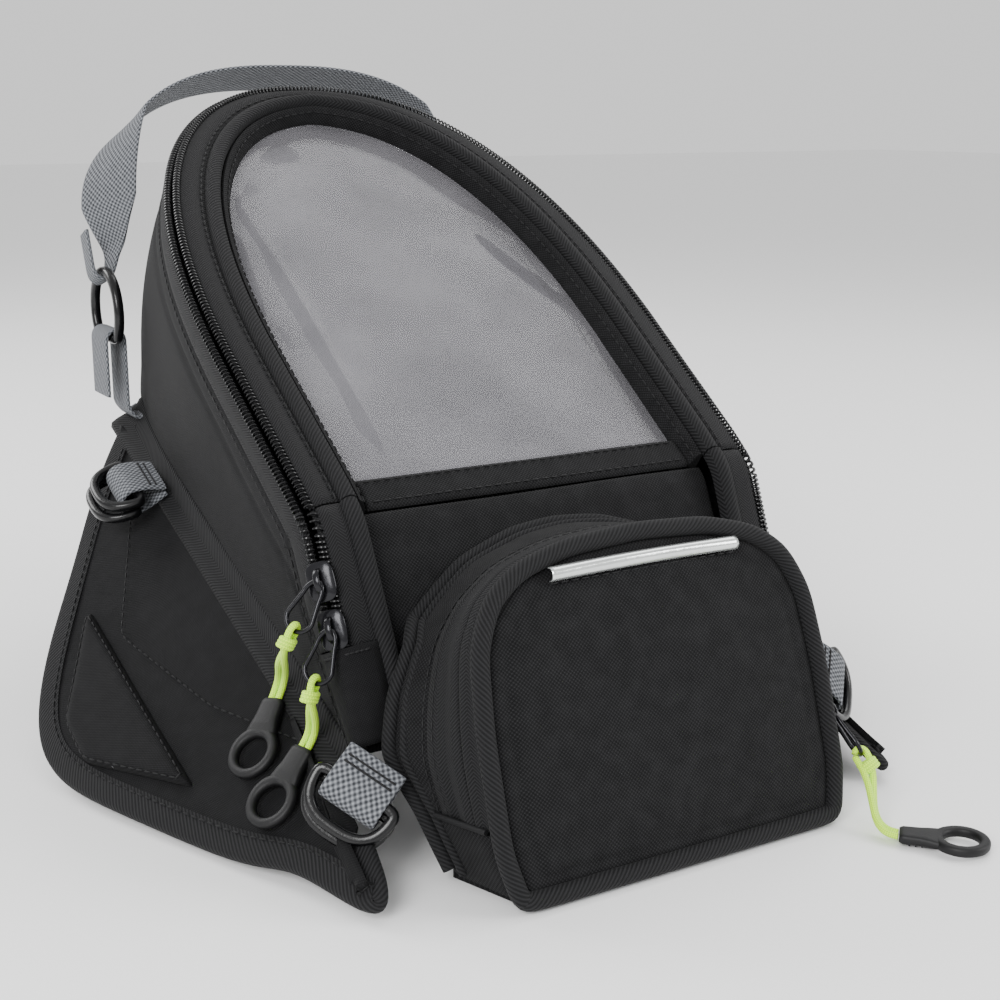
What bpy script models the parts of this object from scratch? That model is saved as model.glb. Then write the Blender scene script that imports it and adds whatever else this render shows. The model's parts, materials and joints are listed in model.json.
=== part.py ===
"""Motorcycle tank bag that stands on its two magnetic side flaps and its front pocket.

Metres, +Z up, +X to the bag's right, +Y towards the rear. The body is a wedge: a sloping lid
with a clear window over a phone pocket, a front panel that carries a zipped pocket, padded side
walls and a stiff base. Every sub-part is one closed solid, 0.3 mm or more clear of its neighbours.
"""

import math

import bpy
import numpy as np

# ---- driving dimensions (metres, degrees) ---------------------------------------------------
GAP = 0.0003
SHIFT_Y = 0.00595

LID_SLOPE = math.radians(33.8)
FRONT_SLOPE = math.radians(62.0)
BASE_SLOPE = math.radians(19.5)
WINDOW_CENTRE = (0.0, 0.0, 0.147)
FOLD_Q = -0.0970
FOLD_RADIUS = 0.012
HINGE_Q = -0.0936
LID_END_Q = -0.0932
FRONT_START_Q = -0.0940
ZIP_END_Q = -0.1340
CORNER_END_Q = -0.1620
FRONT_END_Q = -0.1660
FLOOR_Q = -0.1990

ZIP_HALF_WIDTH = 0.0850
ZIP_WIDTH_KNOTS = ((-0.1660, 0.0805), (-0.0930, 0.0833), (-0.0200, 0.0850))
ZIP_ARCH_Q = -0.0200
ZIP_ARCH_HEIGHT = 0.1480
ZIP_ARCH_POWER = 2.3
ZIP_LEVEL_KNOTS = ((-0.1660, 0.0020), (-0.0850, 0.0070))
ZIP_STEP = 0.0085

COIL_GAP = 0.0006
COIL_WIDTH = 0.0026
COIL_HALF_THICK = 0.0013
TAPE_THICK = 0.0010
TAPE_LEVEL = 0.0016
TAPE_END = 0.0110
PIPING_START = 0.0113
PIPING_END = 0.0173
FRONT_PIPING_START = PIPING_START - 0.0007
HEM_START = 0.0176
HEM_END = 0.0217
TOP_NARROWING = 0.68
WALL_THICK = 0.0030
WALL_TAPE_END = 0.0125

FILM_LEVEL = 0.0012
FILM_THICK = 0.0006
POCKET_BACK_LEVEL = -0.0086
POCKET_BACK_THICK = 0.0015
STRIP_TOP_Q = -0.0803
STRIP_THICK = 0.0020
FRONT_THICK = 0.0030
FRONT_LEVEL = 0.0020
FRONT_FLOOR_HALF = 0.0600

BASE_FRONT = (0.0, -0.1120, 0.029)
BASE_HALF_WIDTH = 0.0803
BASE_STRAIGHT = 0.1300
BASE_LENGTH = 0.2830
BASE_POWER = 3.0
BASE_PANEL_THICK = 0.0025
BOARD_THICK = 0.0020
MAT_THICK = 0.0015

POCKET_FRONT_Y = -0.1650
POCKET_LEAN = math.radians(17.7)
POCKET_HINGE_Z = 0.0200
POCKET_ZIP = 0.0085
POCKET_TAPE_END = 0.0200
POCKET_PIPING_R = 0.0028
POCKET_SKIN = 0.0020
POCKET_BACK_OUTLINE = (
    (-0.0650, 0.1050), (-0.0700, 0.0860), (-0.0770, 0.0680), (-0.0710, 0.0520),
    (-0.0580, 0.0330), (-0.0360, 0.0170), (-0.0160, 0.0100), (0.0, 0.0085),
)
POCKET_FRONT_OUTLINE = (
    (-0.0570, 0.0035), (-0.0605, 0.0180), (-0.0605, 0.0500), (-0.0585, 0.0740),
    (-0.0525, 0.0870), (-0.0420, 0.0945), (-0.0250, 0.0990), (0.0, 0.1005),
)

FLAP_BINDING = 0.0090
FLAP_SEAM_REAR = (-0.0815, 0.0970, 0.0980)
FLAP_SEAM_FRONT = (-0.0835, -0.0970, 0.0310)
FLAP_FLOOR_POINT = (-0.1520, -0.0100, 0.0)
FLAP_OUTLINE = (
    (0.002, 0.0010), (0.011, 0.011), (0.029, 0.028), (0.054, 0.045), (0.084, 0.066), (0.111, 0.084),
    (0.124, 0.091), (0.138, 0.092), (0.152, 0.087),
)
FLAP_FLOOR_S = (0.160, 0.246)
FLAP_FRONT_S = 0.212
FLAP_STATIONS = 61
FLAP_ROUNDING = 30
FLAP_BARE = 4
FLAP_TOP = 0.0022
FLAP_HALF = 0.0015
BINDING_HALF = 0.0019
MAGNET_OUTLINE = ((0.082, 0.046), (0.122, 0.0700), (0.143, 0.0700), (0.183, 0.042))
MAGNET_BAR = (0.110, 0.154, 0.0480, 0.0620)

WEBBING_THICK = 0.0014
STRAP_WIDTH = 0.0190
REAR_STRAP_ROOT = (-0.0865, 0.0455, 0.0855)
REAR_STRAP_AXIS = (-0.010, -0.945, -0.327)
REAR_STRAP_REACH = (-0.930, 0.100, -0.250)
FRONT_STRAP_ROOT = (-0.0815, -0.1240, 0.0360)
FRONT_STRAP_AXIS = (0.600, -0.620, -0.500)
FRONT_STRAP_REACH = (-0.630, 0.0, -0.770)
STRAP_BEND_AT = 0.0110
STRAP_BEND_R = 0.0050
RING_R = 0.0017
RING_BEND_R = 0.0130
RING_HALF_BAR = 0.0128
RING_POWER = 2.8
RING_BARS = (("lower", 0.0115, -0.00205), ("upper", 0.0090, 0.00205))

HANDLE_WIDTH = 0.0250
HANDLE_HALF = 0.0800
HANDLE_RISE = 0.0940
HANDLE_LEAN = 0.40
HANDLE_RING_AT = (-0.0870, 0.0930, 0.1420)
HANDLE_RING_R = 0.0150
HANDLE_RING_STOCK = 0.0018
HANDLE_HOOK_R = 0.0036
HOOK_WIDTH = 0.0090
ANCHOR_LOW_Z = 0.1060

MAIN_SLIDER_Q = (("upper", -0.1125), ("lower", -0.1270))
POCKET_SLIDER_Z = 0.0285
PULL_BAR_OUT = 0.0038
PULL_RING_LENGTH = 0.0160
PULL_RING_HALF = 0.0045
PULL_RING_STOCK = 0.00075
CORD_R = 0.0011
TAB_LENGTH = 0.0125
TAB_HALF_WIDTH = 0.0048
TAB_HALF_THICK = 0.0018
LOOP_R = 0.0070
LOOP_STOCK = 0.0016
TAB_ON_FLAP = {"upper": ((0.1780, 0.0060), (0.1890, 0.0190)), "lower": ((0.2020, 0.0060), (0.2090, 0.0200))}
TAB_LIFT = 0.0042
MAIN_RING_WAY = {"upper": (-0.520, 0.030, -0.850), "lower": (-0.400, -0.120, -0.905)}
POCKET_PULL_TIP = (0.0735, -0.1660, 0.0110)
POCKET_TAB_AT = (0.0650, -0.1835, 0.0022)
POCKET_TAB_WAY = (0.70, -0.714, 0.0)

BLACK_FABRIC = (0.018, 0.018, 0.019)
WALL_FABRIC = (0.022, 0.022, 0.023)
TAPE_BLACK = (0.014, 0.014, 0.015)
GREY_WEBBING = (0.145, 0.150, 0.158)
BLACK_PLASTIC = (0.012, 0.012, 0.012)
BLACK_METAL = (0.020, 0.020, 0.022)
NEON = (0.610, 1.000, 0.045)
SILVER = (0.700, 0.710, 0.690)
CLEAR = (0.780, 0.790, 0.800)

X_AXIS = np.array([1.0, 0.0, 0.0])
LID_UP = np.array([0.0, math.cos(LID_SLOPE), math.sin(LID_SLOPE)])
LID_OUT = np.array([0.0, -math.sin(LID_SLOPE), math.cos(LID_SLOPE)])
FRONT_UP = np.array([0.0, math.cos(FRONT_SLOPE), math.sin(FRONT_SLOPE)])
BASE_BACK = np.array([0.0, math.cos(BASE_SLOPE), math.sin(BASE_SLOPE)])
BASE_UP = np.array([0.0, -math.sin(BASE_SLOPE), math.cos(BASE_SLOPE)])
FACE_UP = np.array([0.0, math.sin(POCKET_LEAN), math.cos(POCKET_LEAN)])
FACE_OUT = np.array([0.0, -math.cos(POCKET_LEAN), math.sin(POCKET_LEAN)])
SHIFT = np.array([0.0, SHIFT_Y, 0.0])


# ---- vectors and lines ----------------------------------------------------------------------
def unit(vectors):
    """The vectors, each divided by its length."""
    vectors = np.asarray(vectors, float)
    return vectors / np.linalg.norm(vectors, axis=-1, keepdims=True)


def resample(points, step=None, count=None):
    """Points evenly spaced along a line, about step apart or count in number."""
    points = np.asarray(points, float)
    lengths = np.linalg.norm(np.diff(points, axis=0), axis=1)
    along = np.concatenate([[0.0], np.cumsum(lengths)])
    number = count or max(2, int(round(along[-1] / step)) + 1)
    wanted = np.linspace(0.0, along[-1], number)
    return np.stack([np.interp(wanted, along, points[:, i]) for i in range(points.shape[1])], axis=1)


def smooth_curve(knots, passes=4, step=0.002):
    """A line through the knots with its corners eased by repeated averaging; the ends stay."""
    line = resample(knots, step=step)
    for _ in range(passes):
        line[1:-1] = 0.25 * line[:-2] + 0.5 * line[1:-1] + 0.25 * line[2:]
    return line


def tangents(points):
    """Unit direction of travel at each point of a line."""
    return unit(np.gradient(points, axis=0))


# ---- materials and bodies -------------------------------------------------------------------
def material(name, colour, roughness, metallic=0.0, alpha=1.0):
    """A Principled material with the part's colour, roughness and metallic value."""
    made = bpy.data.materials.new(name)
    made.use_nodes = True
    shader = made.node_tree.nodes["Principled BSDF"]
    shader.inputs["Base Color"].default_value = (*colour, 1.0)
    shader.inputs["Roughness"].default_value = roughness
    shader.inputs["Metallic"].default_value = metallic
    shader.inputs["Alpha"].default_value = alpha
    return made


def add_body(name, points, faces, look, origin=(0.0, 0.0, 0.0), smooth=True):
    """One closed solid, with its origin where its joint's axis is."""
    at = np.asarray(origin, float)
    mesh = bpy.data.meshes.new(name)
    placed = np.asarray(points, float).reshape(-1, 3) + SHIFT - at
    mesh.from_pydata(placed.tolist(), [], [tuple(int(i) for i in face) for face in faces])
    mesh.materials.append(look)
    mesh.update()
    volume = signed_volume(placed, faces)
    if volume < 0:
        mesh.flip_normals()
    mesh.shade_smooth() if smooth else mesh.shade_flat()
    if smooth:
        mesh.set_sharp_from_angle(angle=math.radians(40.0))
    body = bpy.data.objects.new(name, mesh)
    body.location = at
    bpy.context.scene.collection.objects.link(body)
    return body


def signed_volume(points, faces):
    """Six times the volume inside the faces, negative when they face inwards."""
    total = 0.0
    for face in faces:
        for second, third in zip(face[1:-1], face[2:]):
            total += float(np.dot(points[face[0]], np.cross(points[second], points[third])))
    return total


def sweep(name, sections, look, closed=False, **more):
    """A solid through a row of closed sections with the same number of corners each."""
    sections = np.asarray(sections, float)
    count, corners = sections.shape[:2]
    faces = []
    for row in range(count if closed else count - 1):
        after = (row + 1) % count
        for corner in range(corners):
            beside = (corner + 1) % corners
            faces.append((row * corners + corner, row * corners + beside,
                          after * corners + beside, after * corners + corner))
    if not closed:
        faces.append(tuple(reversed(range(corners))))
        faces.append(tuple(range((count - 1) * corners, count * corners)))
    return add_body(name, sections, faces, look, **more)


def slab(name, outer, inner, look, **more):
    """A sheet between two grids of points, closed round its edge."""
    outer = np.asarray(outer, float)
    inner = np.asarray(inner, float)
    rows, columns = outer.shape[:2]
    total = rows * columns
    index = np.arange(total).reshape(rows, columns)
    faces = []
    for r in range(rows - 1):
        for c in range(columns - 1):
            a, b, d, e = index[r, c], index[r, c + 1], index[r + 1, c + 1], index[r + 1, c]
            faces.append((a, b, d, e))
            faces.append((total + e, total + d, total + b, total + a))
    rim = np.concatenate([index[0, :-1], index[:-1, -1], index[-1, :0:-1], index[:0:-1, 0]])
    for a, b in zip(rim, np.roll(rim, -1)):
        faces.append((b, a, total + a, total + b))
    points = np.concatenate([outer.reshape(-1, 3), inner.reshape(-1, 3)])
    return add_body(name, points, faces, look, **more)


def plate(name, outline, place, low, high, look, **more):
    """A flat piece: the outline, placed at two levels by the function place, and joined."""
    outline = np.asarray(outline, float)
    count = len(outline)
    top = place(outline[:, 0], outline[:, 1], high)
    bottom = place(outline[:, 0], outline[:, 1], low)
    faces = [tuple(range(count)), tuple(reversed(range(count, 2 * count)))]
    for a in range(count):
        b = (a + 1) % count
        faces.append((b, a, count + a, count + b))
    more.setdefault("smooth", False)
    return add_body(name, np.concatenate([top, bottom]), faces, look, **more)


def tube(name, path, radius, look, sides=8, closed=False, flat=1.0, normal=None, **more):
    """A round or flattened bar along a line; normal fixes which way the flat side faces."""
    path = np.asarray(path, float)
    if closed:
        ahead = unit(np.roll(path, -1, axis=0) - np.roll(path, 1, axis=0))
    else:
        ahead = tangents(path)
    facing = np.asarray(normal if normal is not None else (0.31, 0.47, 0.83), float)
    across = unit(np.cross(ahead, facing))
    outward = unit(np.cross(across, ahead))
    turn = np.linspace(0.0, 2.0 * math.pi, sides, endpoint=False)
    sections = (path[:, None] + radius * np.cos(turn)[None, :, None] * across[:, None]
                + radius * flat * np.sin(turn)[None, :, None] * outward[:, None])
    return sweep(name, sections, look, closed=closed, **more)


def ribbon(name, path, width_way, width, look, closed=False, thick=WEBBING_THICK, **more):
    """A strap: a flat section carried along a line, its width always along width_way."""
    path = np.asarray(path, float)
    if closed:
        ahead = unit(np.roll(path, -1, axis=0) - np.roll(path, 1, axis=0))
    else:
        ahead = tangents(path)
    side = unit(width_way)
    out = unit(np.cross(ahead, side))
    half_wide = 0.5 * width * side
    half_thick = 0.5 * thick * out
    sections = np.stack([path + half_wide + half_thick, path - half_wide + half_thick,
                         path - half_wide - half_thick, path + half_wide - half_thick], axis=1)
    return sweep(name, sections, look, closed=closed, **more)


def cut(body, cutter):
    """Takes the cutter's shape out of the body."""
    combine(body, cutter, "DIFFERENCE")


def join(body, other):
    """Adds the other piece to the body, as one solid."""
    combine(body, other, "UNION")


def combine(body, other, operation):
    """Exact Boolean with a helper that isn't rendered."""
    other.hide_render = True
    other.display_type = "WIRE"
    step = body.modifiers.new(other.name, "BOOLEAN")
    step.object = other
    step.operation = operation
    step.solver = "EXACT"


# ---- the surface that runs over the front panel, round the fold and up the lid ---------------
def cover(x, q, level):
    """Point x across and q up the lid and front surface, level above it."""
    x, q, level = np.broadcast_arrays(*(np.asarray(v, float) for v in (x, q, level)))
    turn = FRONT_SLOPE - LID_SLOPE
    arc_top = FOLD_Q + FOLD_RADIUS * math.tan(0.5 * turn)
    arc_low = arc_top - FOLD_RADIUS * turn
    angle = np.clip((arc_top - q) / FOLD_RADIUS, 0.0, turn) + LID_SLOPE
    out = np.stack([np.zeros_like(angle), -np.sin(angle), np.cos(angle)], axis=-1)
    centre = np.array(WINDOW_CENTRE) + arc_top * LID_UP - FOLD_RADIUS * LID_OUT
    base = centre + FOLD_RADIUS * out
    base = base + np.maximum(q - arc_top, 0.0)[..., None] * LID_UP
    base = base + np.minimum(q - arc_low, 0.0)[..., None] * FRONT_UP
    return base + level[..., None] * out + x[..., None] * X_AXIS


def zip_level(q):
    """Height of the zip's coil above the cover surface."""
    return np.interp(q, *zip(*ZIP_LEVEL_KNOTS))


def zip_half_width(q):
    """Half the distance between the two sides of the zip below its arch."""
    return np.interp(q, *zip(*ZIP_WIDTH_KNOTS))


def arch(half_width, start, height, power, count=400):
    """Half of a superellipse from the left side over the top to the right side."""
    angle = np.linspace(math.pi, 0.0, count)
    cosine = np.cos(angle)
    across = np.sign(cosine) * np.abs(cosine) ** (2.0 / power) * half_width
    up = np.clip(np.sin(angle), 0.0, 1.0) ** (2.0 / power) * height + start
    return np.stack([across, up], axis=1)


def zip_side(low, high, sign):
    """The zip line up one side between two heights on the cover."""
    q = np.linspace(low, high, max(3, int(round((high - low) / ZIP_STEP)) + 1))
    return np.stack([sign * zip_half_width(q), q], axis=1)


class ZipRun:
    """Stations along a stretch of the main zip, with the directions that its parts need."""

    def __init__(self, line):
        self.line = line
        ahead = tangents(line)
        self.inward = np.stack([ahead[:, 1], -ahead[:, 0]], axis=1)
        self.narrow = TOP_NARROWING + (1.0 - TOP_NARROWING) * np.abs(self.inward[:, 0]) ** 0.7
        self.level = zip_level(line[:, 1])
        self.origin = cover(line[:, 0], line[:, 1], self.level)
        self.ahead = tangents(self.origin)
        nudge = 1e-4
        near = cover(line[:, 0] + nudge * self.inward[:, 0], line[:, 1] + nudge * self.inward[:, 1],
                     self.level)
        self.into_lid = unit(near - self.origin)
        self.foot = base_point_below(self.origin, line)
        drop = self.foot - self.origin
        along = np.sum(drop * self.ahead, axis=1, keepdims=True)
        self.down_wall = unit(drop - along * self.ahead)
        self.depth = np.sum(drop * self.down_wall, axis=1)
        self.lid_out = unit(np.cross(self.into_lid, self.ahead))
        self.lid_out *= np.sign(np.sum(self.lid_out * -self.down_wall, axis=1, keepdims=True))
        self.wall_out = unit(np.cross(self.down_wall, self.ahead))
        self.wall_out *= np.sign(np.sum(self.wall_out * -self.into_lid, axis=1, keepdims=True))
        self.corner_out = unit(-(self.into_lid + self.down_wall))
        self.to_lid = unit(self.into_lid - self.down_wall)

    def inset(self, distance, level):
        """Points distance in from the zip along the cover, level above the coil."""
        reach = distance * self.narrow
        return cover(self.line[:, 0] + reach * self.inward[:, 0],
                     self.line[:, 1] + reach * self.inward[:, 1], self.level + level)

    def coil_corner(self, across, out):
        """Points in the section's diagonal frame: across towards the lid, out from the bag."""
        return self.origin + across * self.to_lid + out * self.corner_out

    def wall(self, distance, out):
        """Points distance down the side wall, out from its coil line."""
        reach = np.asarray(distance)
        reach = reach[:, None] if reach.ndim else reach
        return self.origin + reach * self.down_wall + out * self.wall_out


def base_point_below(origin, line):
    """Where the side wall that starts at each zip station meets the base outline."""
    outline = base_outline()
    low = origin - np.array(BASE_FRONT)
    back = low @ BASE_BACK
    peak = back.max()
    arch_start = origin[np.argmin(np.abs(line[:, 1] - ZIP_ARCH_Q))]
    start = float((arch_start - np.array(BASE_FRONT)) @ BASE_BACK) if peak > 0.2 else 0.123
    straight = line[:, 1] <= ZIP_ARCH_Q
    feet = np.empty_like(origin)
    side = np.sign(line[:, 0])
    along = np.clip(back, 0.0, start) * BASE_STRAIGHT / start
    feet[:] = base_place(side * BASE_HALF_WIDTH, along, 0.0)
    if not straight.all():
        share = np.arctan2(
            np.clip((line[:, 1] - ZIP_ARCH_Q) / ZIP_ARCH_HEIGHT, 0.0, 1.0) ** (ZIP_ARCH_POWER / 2.0),
            np.sign(line[:, 0]) * np.abs(line[:, 0] / ZIP_HALF_WIDTH).clip(0.0, 1.0) ** (ZIP_ARCH_POWER / 2.0),
        )
        index = np.interp(math.pi - share, np.linspace(0.0, math.pi, len(outline)), np.arange(len(outline)))
        x = np.interp(index, np.arange(len(outline)), outline[:, 0])
        b = np.interp(index, np.arange(len(outline)), outline[:, 1])
        feet[~straight] = base_place(x, b, 0.0)[~straight]
    return feet


def base_place(x, back, level):
    """Point on the base plane, back along it and level above it."""
    x, back, level = np.broadcast_arrays(*(np.asarray(v, float) for v in (x, back, level)))
    return (np.array(BASE_FRONT) + x[..., None] * X_AXIS + back[..., None] * BASE_BACK
            + level[..., None] * BASE_UP)


def base_outline():
    """The rounded rear part of the base, from its left side round to its right."""
    return arch(BASE_HALF_WIDTH, BASE_STRAIGHT, BASE_LENGTH - BASE_STRAIGHT, BASE_POWER)


def coil_section(run, side):
    """One half of the zip: a coil beside the gap, and the start of its tape."""
    near = COIL_GAP
    far = COIL_GAP + COIL_WIDTH
    half = COIL_HALF_THICK
    corners = [run.coil_corner(side * near, half), run.coil_corner(side * near, -half),
               run.coil_corner(side * far, -half)]
    return corners, run.coil_corner(side * far, half)


def lid_half(run):
    """Sections of the coil and tape that belong to the lid or the front panel."""
    corners, last = coil_section(run, 1.0)
    top = TAPE_LEVEL + TAPE_THICK
    tape = [run.inset(0.0, 0.0) + 0.00292 * run.into_lid + TAPE_LEVEL * run.lid_out,
            run.inset(TAPE_END, TAPE_LEVEL), run.inset(TAPE_END, top),
            run.origin + 0.00192 * run.into_lid + top * run.lid_out]
    return np.stack([*corners, *tape, last], axis=1)


def body_half(run):
    """Sections of the coil and tape that belong to the side wall."""
    corners, last = coil_section(run, -1.0)
    end = np.minimum(WALL_TAPE_END, 0.45 * run.depth)
    top = TAPE_LEVEL + TAPE_THICK
    tape = [run.wall(0.00292, TAPE_LEVEL), run.wall(end, TAPE_LEVEL), run.wall(end, top),
            run.wall(0.00192, top)]
    return np.stack([*corners, *tape, last], axis=1)


# ---- clear the scene ------------------------------------------------------------------------
for old in list(bpy.data.objects):
    bpy.data.objects.remove(old, do_unlink=True)

OXFORD = material("black_oxford", BLACK_FABRIC, 0.85)
WALL = material("black_wall_fabric", WALL_FABRIC, 0.80)
TAPE = material("zip_tape", TAPE_BLACK, 0.75)
WEBBING = material("grey_webbing", GREY_WEBBING, 0.80)
PLASTIC = material("black_plastic", BLACK_PLASTIC, 0.30)
SOFT_PLASTIC = material("soft_black_plastic", BLACK_PLASTIC, 0.60)
METAL = material("black_metal", BLACK_METAL, 0.25, metallic=0.9)
NEON_CORD = material("neon_cord", NEON, 0.60)
REFLECTIVE = material("reflective_strip", SILVER, 0.25)
FILM = material("clear_film", CLEAR, 0.08, alpha=0.35)
BOARD = material("stiff_board", (0.05, 0.05, 0.05), 0.60)
RUBBER = material("grip_rubber", (0.03, 0.03, 0.03), 0.90)
MAGNET = material("magnet", (0.30, 0.30, 0.31), 0.40, metallic=1.0)
BACKING = material("pocket_backing", (0.090, 0.092, 0.096), 0.80)

# ---- main zip, side wall and lid ------------------------------------------------------------
left_front = zip_side(CORNER_END_Q, FRONT_START_Q, -1.0)
left_lid = zip_side(LID_END_Q, ZIP_ARCH_Q, -1.0)
over_top = resample(arch(ZIP_HALF_WIDTH, ZIP_ARCH_Q, ZIP_ARCH_HEIGHT, ZIP_ARCH_POWER), step=ZIP_STEP)
mirror = np.array([-1.0, 1.0])
lid_line = np.concatenate([left_lid[:-1], over_top, (left_lid[:-1] * mirror)[::-1]])
whole_line = np.concatenate([left_front, lid_line, (left_front * mirror)[::-1]])
lid_run = ZipRun(lid_line)
whole_run = ZipRun(whole_line)
zipped = whole_line[:, 1] >= ZIP_END_Q
body_run = ZipRun(whole_line[zipped])

hinge_point = cover(0.0, HINGE_Q, 0.0112) + SHIFT

sweep("body_zip_tape", body_half(body_run), TAPE)
sweep("lid_zip_tape", lid_half(lid_run), TAPE, origin=hinge_point)

wall_top = np.minimum(WALL_TAPE_END, 0.45 * whole_run.depth) + GAP
shares = (0.0, 0.5, 1.0)
rim = whole_run.wall(wall_top, TAPE_LEVEL + TAPE_THICK)
foot = whole_run.foot
sag = np.sin(np.pi * np.array(shares))[None, :, None] * (0.02 * whole_run.depth)[:, None, None]
outer = rim[:, None] + (foot - rim)[:, None] * np.array(shares)[None, :, None]
outer = outer + sag * whole_run.wall_out[:, None]
slab("side_gusset", outer, outer - WALL_THICK * whole_run.wall_out[:, None], WALL)

piping_levels = ((PIPING_START, 0.0), (PIPING_START, 0.0030), (PIPING_START + 0.0014, 0.0040),
                 (PIPING_END - 0.0014, 0.0040), (PIPING_END, 0.0030), (PIPING_END, 0.0))
sweep("lid_piping", np.stack([lid_run.inset(u, v) for u, v in piping_levels], axis=1), OXFORD,
      origin=hinge_point)
hem_levels = ((HEM_START, -0.0138), (HEM_START, 0.0012), (HEM_END, -0.0035), (HEM_END, -0.0138))
sweep("lid_hem", np.stack([lid_run.inset(u, v) for u, v in hem_levels], axis=1), OXFORD,
      origin=hinge_point)


def lid_outline(distance, end_q):
    """Closed outline inside the zip line, cut straight across at end_q."""
    reach = (distance * lid_run.narrow)[:, None]
    line = lid_line + reach * lid_run.inward
    kept = line[line[:, 1] > end_q + 0.001]
    left = np.interp(end_q, [line[0, 1], kept[0, 1]], [line[0, 0], kept[0, 0]])
    return np.concatenate([[[left, end_q]], kept, [[-left, end_q]]])


plate("window_film", lid_outline(HEM_END + GAP, STRIP_TOP_Q + GAP), cover, FILM_LEVEL,
      FILM_LEVEL + FILM_THICK, FILM, origin=hinge_point)
plate("phone_pocket_back", lid_outline(PIPING_START, STRIP_TOP_Q), cover, POCKET_BACK_LEVEL,
      POCKET_BACK_LEVEL + POCKET_BACK_THICK, BACKING, origin=hinge_point)
strip_half = 0.0833 - HEM_END - GAP
strip = ((-strip_half, LID_END_Q), (strip_half, LID_END_Q), (strip_half, STRIP_TOP_Q),
         (-strip_half, STRIP_TOP_Q))
plate("window_webbing_strip", strip, cover, 0.0022, 0.0022 + STRIP_THICK, OXFORD, origin=hinge_point)

# ---- front panel and its edges --------------------------------------------------------------
edge_inset = PIPING_END + GAP
levels = np.concatenate([np.linspace(FRONT_START_Q, FRONT_END_Q, 10), [-0.1800, FLOOR_Q]])
widths = np.interp(levels, [FLOOR_Q, FRONT_END_Q, FRONT_START_Q],
                   [FRONT_FLOOR_HALF, zip_half_width(FRONT_END_Q) - edge_inset,
                    zip_half_width(FRONT_START_Q) - edge_inset])
grid_x = np.linspace(-1.0, 1.0, 5)[None] * widths[:, None]
grid_q = np.repeat(levels[:, None], 5, axis=1)
slab("front_panel", cover(grid_x, grid_q, FRONT_LEVEL), cover(grid_x, grid_q, FRONT_LEVEL - FRONT_THICK),
     OXFORD)
for side_name, sign in (("left", 1.0), ("right", -1.0)):
    flip = np.array([sign, 1.0])
    top_part = (zip_side(ZIP_END_Q, FRONT_START_Q, -1.0) * flip)
    low_part = (zip_side(CORNER_END_Q, ZIP_END_Q - 2.0 * GAP, -1.0) * flip)
    full = (zip_side(CORNER_END_Q, FRONT_START_Q, -1.0) * flip)
    if sign < 0:
        top_part, low_part, full = top_part[::-1], low_part[::-1], full[::-1]
    front_run, corner_run, edge_run = ZipRun(top_part), ZipRun(low_part), ZipRun(full)
    piping = [(FRONT_PIPING_START if u == PIPING_START else u, v) for u, v in piping_levels]
    edge = sweep(f"front_edge_{side_name}", np.stack([edge_run.inset(u, v) for u, v in piping], axis=1), TAPE)
    join(edge, sweep(f"joined_tape_{side_name}", lid_half(front_run), TAPE))
    end = np.minimum(WALL_TAPE_END, 0.45 * corner_run.depth)
    top = TAPE_LEVEL + TAPE_THICK
    patch = [corner_run.wall(end, TAPE_LEVEL), corner_run.coil_corner(0.0, 0.0),
             corner_run.inset(TAPE_END, TAPE_LEVEL), corner_run.inset(TAPE_END, top),
             corner_run.coil_corner(0.0, 0.0022), corner_run.wall(end, top)]
    join(edge, sweep(f"joined_patch_{side_name}", np.stack(patch, axis=1), WALL))

# ---- base -----------------------------------------------------------------------------------
def base_shape(inset, front):
    """Outline of a piece that lies on the base, inset from the side wall."""
    scale = (BASE_HALF_WIDTH - inset) / BASE_HALF_WIDTH
    rear = resample(base_outline(), count=33) * np.array([scale, 1.0])
    share = (rear[:, 1] - BASE_STRAIGHT) / (BASE_LENGTH - BASE_STRAIGHT)
    rear[:, 1] -= inset * share
    half = BASE_HALF_WIDTH - inset
    return np.concatenate([[[-half, front]], rear, [[half, front]]])


plate("base_panel", base_shape(0.0040, 0.0060), base_place, 0.0, BASE_PANEL_THICK, OXFORD)
plate("base_board", base_shape(0.0080, 0.0100), base_place, BASE_PANEL_THICK + GAP,
      BASE_PANEL_THICK + GAP + BOARD_THICK, BOARD)
plate("base_grip_mat", base_shape(0.0100, 0.0080), base_place, -GAP - MAT_THICK, -GAP, RUBBER)


# ---- front pocket ---------------------------------------------------------------------------
def full_outline(half):
    """A whole outline from its left half."""
    half = np.asarray(half, float)
    return np.concatenate([half, (half * np.array([-1.0, 1.0]))[-2::-1]])


def face_place(x, up, level):
    """Point on the pocket's leaning front face."""
    x, up, level = np.broadcast_arrays(*(np.asarray(v, float) for v in (x, up, level)))
    start = np.array([0.0, POCKET_FRONT_Y, 0.0])
    return start + x[..., None] * X_AXIS + up[..., None] * FACE_UP + level[..., None] * FACE_OUT


def inset_line(line, distance):
    """The line moved to its right by distance."""
    ahead = tangents(line)
    return line + distance * np.stack([ahead[:, 1], -ahead[:, 0]], axis=1)


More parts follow.
